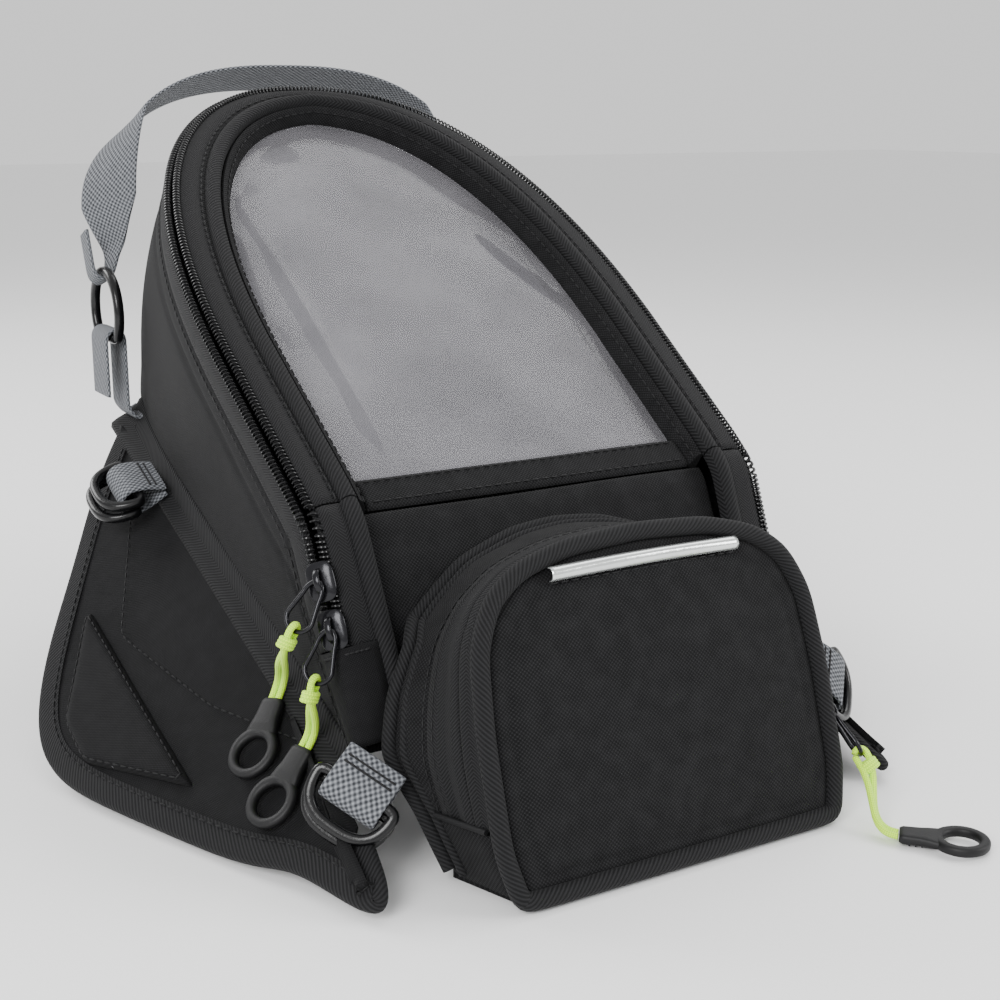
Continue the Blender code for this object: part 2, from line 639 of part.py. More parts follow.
POCKET_STATIONS = 61
face_line = resample(smooth_curve(full_outline(POCKET_FRONT_OUTLINE)), count=POCKET_STATIONS)
rear_line = resample(smooth_curve(full_outline(POCKET_BACK_OUTLINE)), count=POCKET_STATIONS)
face_edge = face_place(face_line[:, 0], face_line[:, 1], 0.0)
rear_level = np.interp(np.abs(rear_line[:, 0]), [0.0560, 0.0620],
                       [0.0, 1.0]) * (zip_level(FOLD_Q - rear_line[:, 1]) + 0.0022) + 0.0028
rear_edge = cover(rear_line[:, 0], FOLD_Q - rear_line[:, 1], rear_level)
rear_way = unit(rear_edge - face_edge)
pocket_depth = np.linalg.norm(rear_edge - face_edge, axis=1)
pocket_out = unit(np.cross(tangents(face_edge), rear_way))
pocket_out *= np.sign(np.sum(pocket_out * (face_edge - face_edge.mean(axis=0)), axis=1, keepdims=True))


def pocket_strip(name, start, end, out, thick, look, keep=slice(None), columns=2, **more):
    """A band of the pocket's side and top, from start to end behind its front edge."""
    share = np.linspace(0.0, 1.0, columns)
    first = np.broadcast_to(start, pocket_depth.shape)[:, None]
    last = np.broadcast_to(end, pocket_depth.shape)[:, None]
    reach = (first + (last - first) * share)[..., None]
    skin = face_edge[:, None] + reach * rear_way[:, None] + out * pocket_out[:, None]
    return slab(name, skin[keep], (skin - thick * pocket_out[:, None])[keep], look, **more)


above = np.flatnonzero(face_edge[:, 2] > POCKET_HINGE_Z + 0.001)
first_up, last_up = above[0], above[-1]
upper = slice(first_up, last_up + 1)
pocket_hinge = face_place(0.0, POCKET_HINGE_Z / math.cos(POCKET_LEAN), 0.0) + SHIFT
tape_start = POCKET_PIPING_R + 2.0 * GAP

is_up = np.zeros(POCKET_STATIONS, bool)
is_up[first_up - 1:last_up + 2] = True
pocket_strip("pocket_gusset", np.where(is_up, POCKET_TAPE_END + GAP, tape_start), pocket_depth - 0.0006, 0.0,
             POCKET_SKIN, OXFORD, columns=3)
pocket_strip("pocket_zip_tape_rear", POCKET_ZIP + 0.0006, POCKET_TAPE_END, 0.0, TAPE_THICK, TAPE,
             keep=upper)
pocket_strip("pocket_zip_tape_front", tape_start, POCKET_ZIP - 0.0006, 0.0, TAPE_THICK, TAPE,
             keep=upper, origin=pocket_hinge)

ridge = face_edge - 0.0004 * FACE_OUT
tube("pocket_front_piping", ridge[upper], POCKET_PIPING_R, OXFORD, sides=8, normal=FACE_OUT,
     origin=pocket_hinge)
low_bend = smooth_curve([ridge[first_up - 1], ridge[0], (-0.050, ridge[0][1] - 0.0004, 0.0030),
                         (0.050, ridge[0][1] - 0.0004, 0.0030), ridge[-1], ridge[last_up + 1]], passes=3)
low_bend[:, 2] = np.maximum(low_bend[:, 2], 0.0030)
tube("pocket_front_piping_lower", resample(low_bend, count=33), POCKET_PIPING_R, OXFORD, sides=8,
     normal=FACE_OUT)

inner_face = inset_line(face_line, POCKET_PIPING_R + 2.0 * GAP)
split_up = POCKET_HINGE_Z / math.cos(POCKET_LEAN)
top_face = inner_face[inner_face[:, 1] > split_up + 0.001]
low_face = inner_face[inner_face[:, 1] < split_up - 0.001]
half_at_split = float(np.abs(top_face[0, 0]))
top_face = np.concatenate([[[-half_at_split, split_up + GAP]], top_face, [[half_at_split, split_up + GAP]]])
low_left = low_face[low_face[:, 0] < 0]
low_left = low_left[low_left[:, 1] > 0.0150] + np.array([0.0005, 0.0])
low_half = np.concatenate([[[low_left[0, 0] + 0.0070, 0.0072]], low_left, [[-half_at_split, split_up - GAP]]])
low_shape = np.concatenate([low_half, (low_half * np.array([-1.0, 1.0]))[::-1]])
plate("pocket_front_panel", top_face, face_place, -0.0022, -0.0002, OXFORD, origin=pocket_hinge)
plate("pocket_front_lower", low_shape, face_place, -0.0022, -0.0002, OXFORD)
strip_line = ((-0.0335, 0.0895), (0.0335, 0.0895), (0.0335, 0.0940), (-0.0335, 0.0940))
plate("reflective_strip", strip_line, face_place, 0.0001, 0.0030, REFLECTIVE, origin=pocket_hinge)

floor_front = POCKET_FRONT_Y + 0.0055
rear_foot = float(rear_edge[0, 1]) + 0.0015
bottom_shape = ((-0.0545, floor_front), (0.0545, floor_front), (0.0630, rear_foot), (-0.0630, rear_foot))


def floor_place(x, y, level):
    """Point above the floor."""
    x, y, level = np.broadcast_arrays(*(np.asarray(v, float) for v in (x, y, level)))
    return np.stack([x, y, level], axis=-1)


plate("pocket_bottom", bottom_shape, floor_place, 0.0, 0.0025, OXFORD)

# ---- side flaps -----------------------------------------------------------------------------
def flap_frame(sign):
    """Origin on the hinge line, and unit vectors along the seam, down the flap and out of it."""
    turn = np.array([sign, 1.0, 1.0])
    rear = np.array(FLAP_SEAM_REAR)
    front = np.array(FLAP_SEAM_FRONT)
    along = unit(front - rear)
    down = np.array(FLAP_FLOOR_POINT) - rear
    down = unit(down - (down @ along) * along)
    out = unit(np.cross(along, down))
    out = out if out[2] > 0 else -out
    return rear * turn, along * turn, down * turn, out * turn


def flap_edge():
    """Free edge of the flap, its corners rounded: rear edge, along the floor, up to the seam in front."""
    rear, along, down, _ = flap_frame(1.0)
    edge = list(FLAP_OUTLINE) + [(s, 0.5) for s in np.linspace(*FLAP_FLOOR_S, 8)]
    edge = np.array(edge)
    floor = (0.0021 - rear[2] - edge[:, 0] * along[2]) / down[2]
    edge[:, 1] = np.minimum(edge[:, 1], floor)
    edge = resample(np.concatenate([edge, [[FLAP_FRONT_S, 0.0010]]]), count=FLAP_STATIONS)
    for _ in range(FLAP_ROUNDING):
        edge[1:-1] = 0.25 * edge[:-2] + 0.5 * edge[1:-1] + 0.25 * edge[2:]
    return edge


def inward(edge):
    """Unit directions that point into the flap from its free edge."""
    ahead = tangents(edge)
    return np.stack([ahead[:, 1], -ahead[:, 0]], axis=1)


def flap_outline(inset):
    """Closed outline of the flap, its free edge moved in by inset."""
    edge = flap_edge()
    moved = edge + inset * inward(edge)
    kept = moved[(moved[:, 1] > FLAP_TOP + 0.001) & (moved[:, 0] > 0.010)]
    ends = [[kept[0, 0] - 0.003, FLAP_TOP]], [[kept[-1, 0] - 0.001, FLAP_TOP]]
    return np.concatenate([ends[0], kept, ends[1]])


for side_name, sign in (("left", 1.0), ("right", -1.0)):
    rear, along, down, out = flap_frame(sign)

    def flap_place(s, w, level, rear=rear, along=along, down=down, out=out):
        """Point s along the seam and w down the flap."""
        s, w, level = np.broadcast_arrays(*(np.asarray(v, float) for v in (s, w, level)))
        return rear + s[..., None] * along + w[..., None] * down + level[..., None] * out

    hinge = rear + SHIFT
    plate(f"flap_{side_name}", flap_outline(FLAP_BINDING), flap_place, -FLAP_HALF, FLAP_HALF, WALL, origin=hinge)
    rim = flap_edge()[:-FLAP_BARE]
    near = rim + (FLAP_BINDING - GAP) * inward(flap_edge())[:-FLAP_BARE]
    near[:, 1] = np.maximum(near[:, 1], FLAP_TOP)
    corners = ((rim, BINDING_HALF), (near, BINDING_HALF), (near, -BINDING_HALF), (rim, -BINDING_HALF))
    sections = np.stack([flap_place(line[:, 0], line[:, 1], level) for line, level in corners], axis=1)
    sweep(f"flap_binding_{side_name}", sections, TAPE, origin=hinge)
    low = FLAP_HALF + GAP
    cover_piece = plate(f"magnet_cover_{side_name}", MAGNET_OUTLINE, flap_place, low, low + 0.0030, WALL,
                        origin=hinge)
    s_low, s_high, w_low, w_high = MAGNET_BAR
    bar_shape = np.array([(s_low, w_low), (s_high, w_low), (s_high, w_high), (s_low, w_high)])
    plate(f"magnet_{side_name}", bar_shape, flap_place, low, low + 0.0015, MAGNET, origin=hinge)
    room = bar_shape + GAP * np.array([(-1, -1), (1, -1), (1, 1), (-1, 1)])
    cut(cover_piece, plate(f"cutter_magnet_{side_name}", room, flap_place, low - 0.001, low + 0.0018, WALL,
                           origin=hinge))


# ---- webbing straps with their pairs of rings ------------------------------------------------
def d_ring(bar, along, reach):
    """A closed D: a straight bar through bar along along, and a bend that goes out along reach."""
    bend = resample(arch(RING_HALF_BAR, 0.0, RING_BEND_R, RING_POWER), count=23)
    straight = np.stack([np.linspace(RING_HALF_BAR, -RING_HALF_BAR, 7)[1:-1], np.zeros(5)], axis=1)
    outline = np.concatenate([bend, straight])
    return bar + outline[:, :1] * along + outline[:, 1:] * reach


STRAPS = (("rear", REAR_STRAP_ROOT, REAR_STRAP_AXIS, REAR_STRAP_REACH),
          ("front", FRONT_STRAP_ROOT, FRONT_STRAP_AXIS, FRONT_STRAP_REACH))
for side_name, sign in (("left", 1.0), ("right", -1.0)):
    turned = np.array([sign, 1.0, 1.0])
    for spot, root, axis, reach in STRAPS:
        root = np.array(root) * turned
        along = unit(axis) * turned
        reach = np.array(reach) * turned
        reach = unit(reach - (reach @ along) * along)
        lift = np.cross(along, reach)
        lift = lift if lift[2] > 0 else -lift
        turn = np.linspace(-0.5 * math.pi, 0.5 * math.pi, 11)
        bend = np.stack([STRAP_BEND_AT + STRAP_BEND_R * np.cos(turn), STRAP_BEND_R * np.sin(turn)], axis=1)
        ends = np.array([[0.0, 0.0011], [0.0060, 0.0040]])
        flat_path = np.concatenate([ends * np.array([1.0, -1.0]), bend, ends[::-1]])
        path = root + flat_path[:, :1] * reach + flat_path[:, 1:] * lift
        ribbon(f"strap_{spot}_{side_name}", path, along, STRAP_WIDTH, WEBBING)
        for level, bar_out, bar_up in RING_BARS:
            bar = root + bar_out * reach + bar_up * lift
            tube(f"ring_{spot}_{side_name}_{level}", d_ring(bar, along, reach), RING_R, PLASTIC,
                 sides=8, closed=True, normal=lift, origin=bar + SHIFT)

# ---- carry handle ---------------------------------------------------------------------------
for side_name, sign in (("left", 1.0), ("right", -1.0)):
    centre = np.array(HANDLE_RING_AT) * np.array([sign, 1.0, 1.0])
    turn = np.linspace(math.radians(-42.0), math.radians(222.0), 27)
    bend = centre + np.stack([np.zeros_like(turn), HANDLE_RING_R * np.cos(turn), HANDLE_RING_R * np.sin(turn)],
                             axis=1)
    bar_z = bend[0, 2]
    bar = [(centre[0], y, bar_z) for y in np.linspace(bend[-1, 1], bend[0, 1], 7)[1:-1]]
    tube(f"handle_ring_{side_name}", np.concatenate([bend, bar]), HANDLE_RING_STOCK, PLASTIC, sides=8,
         closed=True, normal=X_AXIS)
    turn = np.linspace(0.0, math.pi, 9)
    hook = [(centre[0] - sign * HANDLE_HOOK_R * math.cos(t), centre[1], bar_z + HANDLE_HOOK_R * math.sin(t))
            for t in turn]
    inner_x = centre[0] + sign * HANDLE_HOOK_R
    tab = [(centre[0] - sign * HANDLE_HOOK_R, centre[1], ANCHOR_LOW_Z + 0.004), *hook,
           (inner_x, centre[1], ANCHOR_LOW_Z)]
    ribbon(f"handle_anchor_{side_name}", tab, (0.0, 1.0, 0.0), 0.0190, WEBBING)

lean = math.atan(HANDLE_LEAN)
handle_up = np.array([0.0, math.sin(lean), math.cos(lean)])
leg_start = HANDLE_RING_R + 0.010
climb = arch(HANDLE_HALF, leg_start, HANDLE_RISE - leg_start, 2.6)
climb = resample(climb, count=41)
turn = np.linspace(math.pi, 0.0, 9)
hook_x = HANDLE_RING_AT[0] + HANDLE_HOOK_R * np.cos(turn)
left_part = np.stack([hook_x, HANDLE_RING_R - HANDLE_HOOK_R * np.sin(turn)], axis=1)
left_part = np.concatenate([[[hook_x[0], leg_start]], left_part])
right_part = (left_part * np.array([-1.0, 1.0]))[::-1]
flat_path = np.concatenate([left_part, climb, right_part])
gathered = np.clip((flat_path[:, 1] - HANDLE_RING_R - 0.006) / 0.022, 0.0, 1.0)
gathered[[0, -1]] = 0.0
handle_width = HOOK_WIDTH + (HANDLE_WIDTH - HOOK_WIDTH) * gathered[:, None]
ring_centre = np.array([0.0, HANDLE_RING_AT[1], HANDLE_RING_AT[2]])
handle_path = ring_centre + flat_path[:, :1] * X_AXIS + flat_path[:, 1:] * handle_up
handle_axis = np.array([0.0, HANDLE_RING_AT[1], HANDLE_RING_AT[2]]) + SHIFT
width_way = np.cross(handle_up, X_AXIS)
ribbon("carry_handle", handle_path, width_way, handle_width, WEBBING, origin=handle_axis)


# ---- sliders, pull rings, cords and finger loops --------------------------------------------
def block(name, low, high, frame, look):
    """A box between two corners in a frame (centre, ahead, across, out)."""
    centre, ahead, across, out = frame
    corners = [(a, b) for a, b in ((low[0], low[1]), (high[0], low[1]), (high[0], high[1]), (low[0], high[1]))]
    rings = [[centre + a * ahead + b * across + c * out for a, b in corners] for c in (low[2], high[2])]
    return sweep(name, rings, look, smooth=False)


def slider(name, frame, lower_half, look):
    """Plates over and under the coil, the web between its halves, and the bridge for the ring."""
    body = block(name, (-0.006, -0.0045, 0.0017), (0.006, 0.0045, 0.0027), frame, look)
    pieces = (
        ((-0.0055, -lower_half, -0.0027), (0.0055, lower_half, -0.0017)),
        ((0.0020, -0.00025, -0.0022), (0.0052, 0.00025, 0.0022)),
        ((-0.0042, -0.0007, 0.0022), (-0.0027, 0.0007, 0.0052)),
        ((0.0027, -0.0007, 0.0022), (0.0042, 0.0007, 0.0052)),
        ((-0.0042, -0.0007, 0.0049), (0.0042, 0.0007, 0.0058)),
    )
    for number, (low, high) in enumerate(pieces):
        join(body, block(f"joined_{name}_{number}", low, high, frame, look))
    return body


def pull_ring(name, bar, across, reach, look):
    """An oblong wire ring that hangs from its bar along reach."""
    half, length = PULL_RING_HALF, PULL_RING_LENGTH
    turn = np.linspace(0.0, math.pi, 10)
    far = np.stack([length - half + half * np.sin(turn), half * np.cos(turn)], axis=1)
    near = np.stack([half - half * np.sin(turn), -half * np.cos(turn)], axis=1)
    outline = np.concatenate([far, near])
    path = bar + outline[:, :1] * reach + outline[:, 1:] * across
    return tube(name, path, PULL_RING_STOCK, look, sides=8, closed=True, normal=np.cross(across, reach),
                origin=bar + SHIFT)


def finger_loop(name, start, reach, across, origin):
    """A moulded tab that holds the cord's ends, with a round loop beyond it."""
    out = unit(np.cross(reach, across))
    frame = (start, reach, across, out)
    tab = block(name, (0.0, -TAB_HALF_WIDTH, -TAB_HALF_THICK), (TAB_LENGTH, TAB_HALF_WIDTH, TAB_HALF_THICK),
                frame, SOFT_PLASTIC)
    middle = start + (TAB_LENGTH + LOOP_R - 0.0012) * reach
    turn = np.linspace(0.0, 2.0 * math.pi, 28, endpoint=False)
    path = middle + LOOP_R * (np.cos(turn)[:, None] * reach + np.sin(turn)[:, None] * across)
    join(tab, tube(f"joined_{name}", path, LOOP_STOCK, SOFT_PLASTIC, sides=8, closed=True, normal=out))
    return tab


def cord_path(hold, reach, out_way, end, end_way, end_side):
    """Up one strand from the tab, over the ring's far bar, and down the other strand."""
    share = np.linspace(0.0, 1.0, 13)[:, None]
    lead = 0.38 * np.linalg.norm(end - hold)
    knots = (hold, hold + lead * reach, end - lead * end_way, end)
    middle = ((1 - share) ** 3 * knots[0] + 3 * (1 - share) ** 2 * share * knots[1]
              + 3 * (1 - share) * share ** 2 * knots[2] + share ** 3 * knots[3])
    hook_r = PULL_RING_STOCK + CORD_R + 0.0002
    blend = np.clip(share / 0.55, 0.0, 1.0)
    apart = unit((1.0 - blend) * out_way + blend * end_side) * (hook_r + (0.00128 - hook_r) * blend)
    turn = np.linspace(0.0, math.pi, 9)[1:-1, None]
    bend = hold - hook_r * np.sin(turn) * reach + hook_r * np.cos(turn) * out_way
    return np.concatenate([(middle + apart)[::-1], bend, middle - apart])


flap_rear, flap_along, flap_down, flap_out = flap_frame(1.0)
for name, q_at in MAIN_SLIDER_Q:
    stretch = ZipRun(zip_side(q_at - 0.004, q_at + 0.004, -1.0))
    middle = len(stretch.line) // 2
    ahead, across, out = stretch.ahead[middle], stretch.to_lid[middle], stretch.corner_out[middle]
    slider(f"zip_slider_{name}", (stretch.origin[middle], ahead, across, out), 0.0032, METAL)
    bar = stretch.origin[middle] + PULL_BAR_OUT * out
    (tab_s, tab_w), (end_s, end_w) = TAB_ON_FLAP[name]
    tab_at = flap_rear + tab_s * flap_along + tab_w * flap_down + TAB_LIFT * flap_out
    tab_way = unit((end_s - tab_s) * flap_along + (end_w - tab_w) * flap_down)
    tab_side = np.cross(tab_way, flap_out)
    reach = unit(MAIN_RING_WAY[name])
    side = unit(across - (across @ reach) * reach)
    pull_ring(f"pull_ring_{name}", bar, side, reach, METAL)
    out_way = np.cross(side, reach)
    hold = bar + PULL_RING_LENGTH * reach
    tube(f"pull_cord_{name}", cord_path(hold, reach, out_way, tab_at, tab_way, tab_side), CORD_R, NEON_CORD,
         sides=6, origin=hold + SHIFT)
    finger_loop(f"finger_loop_{name}", tab_at + GAP * tab_way, tab_way, tab_side, hold + SHIFT)

slider_at = int(np.argmin(np.abs(face_edge[POCKET_STATIONS // 2:, 2] - POCKET_SLIDER_Z))) + POCKET_STATIONS // 2
ahead = -unit(face_edge[slider_at + 1] - face_edge[slider_at - 1])
across = unit(rear_way[slider_at] - (rear_way[slider_at] @ ahead) * ahead)
out = pocket_out[slider_at]
chain = face_edge[slider_at] + POCKET_ZIP * rear_way[slider_at] + 0.5 * GAP * out
slider("zip_slider_pocket", (chain, ahead, across, out), 0.0042, METAL)
bar = chain + PULL_BAR_OUT * out
reach = unit(np.array(POCKET_PULL_TIP) - bar)
side = unit(across - (across @ reach) * reach)
pull_ring("pull_ring_pocket", bar, side, reach, METAL)
hold = bar + PULL_RING_LENGTH * reach
tab_way = unit(POCKET_TAB_WAY)
tab_side = unit(np.cross(tab_way, (0.0, 0.0, 1.0)))
tab_at = np.array(POCKET_TAB_AT)
out_way = np.cross(side, reach)
tube("pull_cord_pocket", cord_path(hold, reach, out_way, tab_at, tab_way, tab_side), CORD_R, NEON_CORD, sides=6,
     origin=hold + SHIFT)
finger_loop("finger_loop_pocket", tab_at + GAP * tab_way, tab_way, tab_side, hold + SHIFT)
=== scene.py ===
"""Looks of the tank bag: cloth, tapes, coils, webbing, rings, pulls and the clear window.

Every surface is worked out from the bag's own dimensions, in metres: a shape is a function of two
parameters on a grid, or a profile carried along a line. The bag's own coordinates are SHIFT short
of the frame's, and every surface is moved by SHIFT as it is made.
"""

import json
import math

import bpy
import numpy as np
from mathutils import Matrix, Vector

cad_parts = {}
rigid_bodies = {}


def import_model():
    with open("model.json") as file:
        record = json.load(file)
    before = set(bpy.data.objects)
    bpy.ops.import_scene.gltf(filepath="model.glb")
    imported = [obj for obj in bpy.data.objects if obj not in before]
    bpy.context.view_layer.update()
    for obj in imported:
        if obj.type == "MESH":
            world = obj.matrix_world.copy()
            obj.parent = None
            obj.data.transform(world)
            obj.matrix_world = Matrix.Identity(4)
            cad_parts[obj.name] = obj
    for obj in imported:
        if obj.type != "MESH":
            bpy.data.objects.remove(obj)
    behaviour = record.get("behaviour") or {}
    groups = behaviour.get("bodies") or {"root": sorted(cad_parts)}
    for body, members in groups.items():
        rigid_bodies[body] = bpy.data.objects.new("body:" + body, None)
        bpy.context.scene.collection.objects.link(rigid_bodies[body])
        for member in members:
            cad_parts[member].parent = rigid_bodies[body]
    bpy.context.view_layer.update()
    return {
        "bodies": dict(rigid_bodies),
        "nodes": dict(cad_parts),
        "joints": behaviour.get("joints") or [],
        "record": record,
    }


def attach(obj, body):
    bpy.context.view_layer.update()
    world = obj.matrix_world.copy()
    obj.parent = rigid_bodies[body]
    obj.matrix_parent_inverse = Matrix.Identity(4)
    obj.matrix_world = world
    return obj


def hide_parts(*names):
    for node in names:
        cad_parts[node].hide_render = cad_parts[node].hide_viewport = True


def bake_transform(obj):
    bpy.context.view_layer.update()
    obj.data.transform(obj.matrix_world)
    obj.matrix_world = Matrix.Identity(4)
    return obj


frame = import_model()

# ---- the bag's dimensions (metres, radians) ---------------------------------------------------
GAP = 0.0003
SHIFT_Y = 0.00595

LID_SLOPE = math.radians(33.8)
FRONT_SLOPE = math.radians(62.0)
BASE_SLOPE = math.radians(19.5)
WINDOW_CENTRE = (0.0, 0.0, 0.147)
FOLD_Q = -0.0970
FOLD_RADIUS = 0.012
LID_END_Q = -0.0932
FRONT_START_Q = -0.0940
ZIP_END_Q = -0.1340
CORNER_END_Q = -0.1620
FRONT_END_Q = -0.1660
FLOOR_Q = -0.1990

ZIP_HALF_WIDTH = 0.0850
ZIP_WIDTH_KNOTS = ((-0.1660, 0.0805), (-0.0930, 0.0833), (-0.0200, 0.0850))
ZIP_ARCH_Q = -0.0200
ZIP_ARCH_HEIGHT = 0.1480
ZIP_ARCH_POWER = 2.3
ZIP_LEVEL_KNOTS = ((-0.1660, 0.0020), (-0.0850, 0.0070))
ZIP_STEP = 0.0085

COIL_GAP = 0.0006
TAPE_THICK = 0.0010
TAPE_LEVEL = 0.0016
TAPE_END = 0.0110
PIPING_START = 0.0113
PIPING_END = 0.0173
HEM_START = 0.0176
HEM_END = 0.0217
TOP_NARROWING = 0.68
WALL_THICK = 0.0030
WALL_TAPE_END = 0.0125

FILM_LEVEL = 0.0012
FILM_THICK = 0.0006
POCKET_BACK_LEVEL = -0.0086
POCKET_BACK_THICK = 0.0015
STRIP_TOP_Q = -0.0803
FRONT_THICK = 0.0030

BASE_FRONT = (0.0, -0.1120, 0.029)
BASE_HALF_WIDTH = 0.0803
BASE_STRAIGHT = 0.1300
BASE_LENGTH = 0.2830
BASE_POWER = 3.0

POCKET_FRONT_Y = -0.1650
POCKET_LEAN = math.radians(17.7)
POCKET_HINGE_Z = 0.0200
POCKET_ZIP = 0.0085
POCKET_TAPE_END = 0.0200
POCKET_PIPING_R = 0.0028
POCKET_SKIN = 0.0020
POCKET_BACK_OUTLINE = (
    (-0.0650, 0.1050), (-0.0700, 0.0860), (-0.0770, 0.0680), (-0.0710, 0.0520),
    (-0.0580, 0.0330), (-0.0360, 0.0170), (-0.0160, 0.0100), (0.0, 0.0085),
)
POCKET_FRONT_OUTLINE = (
    (-0.0570, 0.0035), (-0.0605, 0.0180), (-0.0605, 0.0500), (-0.0585, 0.0740),
    (-0.0525, 0.0870), (-0.0420, 0.0945), (-0.0250, 0.0990), (0.0, 0.1005),
)

FLAP_BINDING = 0.0090
FLAP_SEAM_REAR = (-0.0815, 0.0970, 0.0980)
FLAP_SEAM_FRONT = (-0.0835, -0.0970, 0.0310)
FLAP_FLOOR_POINT = (-0.1520, -0.0100, 0.0)
FLAP_OUTLINE = (
    (0.002, 0.0010), (0.011, 0.011), (0.029, 0.028), (0.054, 0.045), (0.084, 0.066), (0.111, 0.084),
    (0.124, 0.091), (0.138, 0.092), (0.152, 0.087),
)
FLAP_FLOOR_S = (0.160, 0.246)
FLAP_FRONT_S = 0.212
FLAP_STATIONS = 61
FLAP_ROUNDING = 30
MAGNET_OUTLINE = ((0.082, 0.046), (0.122, 0.0700), (0.143, 0.0700), (0.183, 0.042))

WEBBING_THICK = 0.0014
STRAP_WIDTH = 0.0190
REAR_STRAP_ROOT = (-0.0865, 0.0455, 0.0855)
REAR_STRAP_AXIS = (-0.010, -0.945, -0.327)
REAR_STRAP_REACH = (-0.930, 0.100, -0.250)
FRONT_STRAP_ROOT = (-0.0815, -0.1240, 0.0360)
FRONT_STRAP_AXIS = (0.600, -0.620, -0.500)
FRONT_STRAP_REACH = (-0.630, 0.0, -0.770)
STRAP_BEND_AT = 0.0110
STRAP_BEND_R = 0.0050
RING_R = 0.0017
RING_BEND_R = 0.0130
RING_HALF_BAR = 0.0128
RING_POWER = 2.8
RING_BARS = (("lower", 0.0115, -0.00205), ("upper", 0.0090, 0.00205))

HANDLE_WIDTH = 0.0250
HANDLE_HALF = 0.0800
HANDLE_RISE = 0.0940
HANDLE_LEAN = 0.40
HANDLE_RING_AT = (-0.0870, 0.0930, 0.1420)
HANDLE_RING_R = 0.0150
HANDLE_RING_STOCK = 0.0018
HANDLE_HOOK_R = 0.0036
HOOK_WIDTH = 0.0090
ANCHOR_LOW_Z = 0.1060

MAIN_SLIDER_Q = (("upper", -0.1125), ("lower", -0.1270))
POCKET_SLIDER_Z = 0.0285
PULL_BAR_OUT = 0.0038
PULL_RING_LENGTH = 0.0160
PULL_RING_HALF = 0.0045
PULL_RING_STOCK = 0.00075
CORD_R = 0.0011
TAB_LENGTH = 0.0125
LOOP_R = 0.0070
LOOP_STOCK = 0.0016
TAB_ON_FLAP = {"upper": ((0.1780, 0.0060), (0.1890, 0.0190)), "lower": ((0.2020, 0.0060), (0.2090, 0.0200))}
TAB_LIFT = 0.0042
MAIN_RING_WAY = {"upper": (-0.520, 0.030, -0.850), "lower": (-0.400, -0.120, -0.905)}
POCKET_PULL_TIP = (0.0735, -0.1660, 0.0110)
POCKET_TAB_AT = (0.0650, -0.1835, 0.0022)
POCKET_TAB_WAY = (0.70, -0.714, 0.0)


X_AXIS = np.array([1.0, 0.0, 0.0])
LID_UP = np.array([0.0, math.cos(LID_SLOPE), math.sin(LID_SLOPE)])
LID_OUT = np.array([0.0, -math.sin(LID_SLOPE), math.cos(LID_SLOPE)])
FRONT_UP = np.array([0.0, math.cos(FRONT_SLOPE), math.sin(FRONT_SLOPE)])
BASE_BACK = np.array([0.0, math.cos(BASE_SLOPE), math.sin(BASE_SLOPE)])
BASE_UP = np.array([0.0, -math.sin(BASE_SLOPE), math.cos(BASE_SLOPE)])
FACE_UP = np.array([0.0, math.sin(POCKET_LEAN), math.cos(POCKET_LEAN)])
FACE_OUT = np.array([0.0, -math.cos(POCKET_LEAN), math.sin(POCKET_LEAN)])
SHIFT = np.array([0.0, SHIFT_Y, 0.0])


FRONT_OUT = np.array([0.0, -math.sin(FRONT_SLOPE), math.cos(FRONT_SLOPE)])
CAMERA_AT = (-0.2632, -0.4991 + SHIFT_Y, 0.2169)
CAMERA_WAY = (0.4947, 0.8346, -0.2423)
CAMERA_LENS = 56.4
SENSOR = 36.0


# ---- lines -------------------------------------------------------------------------------------
def unit(vectors):
    """The vectors, each divided by its length."""
    vectors = np.asarray(vectors, float)
    return vectors / np.linalg.norm(vectors, axis=-1, keepdims=True)


def resample(points, step=None, count=None):
    """Points evenly spaced along a line, about step apart or count in number."""
    points = np.asarray(points, float)
    lengths = np.linalg.norm(np.diff(points, axis=0), axis=1)
    along = np.concatenate([[0.0], np.cumsum(lengths)])
    number = count or max(2, int(round(along[-1] / step)) + 1)
    wanted = np.linspace(0.0, along[-1], number)
    return np.stack([np.interp(wanted, along, points[:, i]) for i in range(points.shape[1])], axis=1)


def smooth_curve(knots, passes=4, step=0.002):
    """A line through the knots with its corners eased by repeated averaging; the ends stay."""
    line = resample(knots, step=step)
    for _ in range(passes):
        line[1:-1] = 0.25 * line[:-2] + 0.5 * line[1:-1] + 0.25 * line[2:]
    return line


def tangents(points):
    """Unit direction of travel at each point of a line."""
    return unit(np.gradient(points, axis=0))


def cover(x, q, level):
    """Point x across and q up the lid and front surface, level above it."""
    x, q, level = np.broadcast_arrays(*(np.asarray(v, float) for v in (x, q, level)))
    turn = FRONT_SLOPE - LID_SLOPE
    arc_top = FOLD_Q + FOLD_RADIUS * math.tan(0.5 * turn)
    arc_low = arc_top - FOLD_RADIUS * turn
    angle = np.clip((arc_top - q) / FOLD_RADIUS, 0.0, turn) + LID_SLOPE
    out = np.stack([np.zeros_like(angle), -np.sin(angle), np.cos(angle)], axis=-1)
    centre = np.array(WINDOW_CENTRE) + arc_top * LID_UP - FOLD_RADIUS * LID_OUT
    base = centre + FOLD_RADIUS * out
    base = base + np.maximum(q - arc_top, 0.0)[..., None] * LID_UP
    base = base + np.minimum(q - arc_low, 0.0)[..., None] * FRONT_UP
    return base + level[..., None] * out + x[..., None] * X_AXIS


def zip_level(q):
    """Height of the zip's coil above the cover surface."""
    return np.interp(q, *zip(*ZIP_LEVEL_KNOTS))


def zip_half_width(q):
    """Half the distance between the two sides of the zip below its arch."""
    return np.interp(q, *zip(*ZIP_WIDTH_KNOTS))


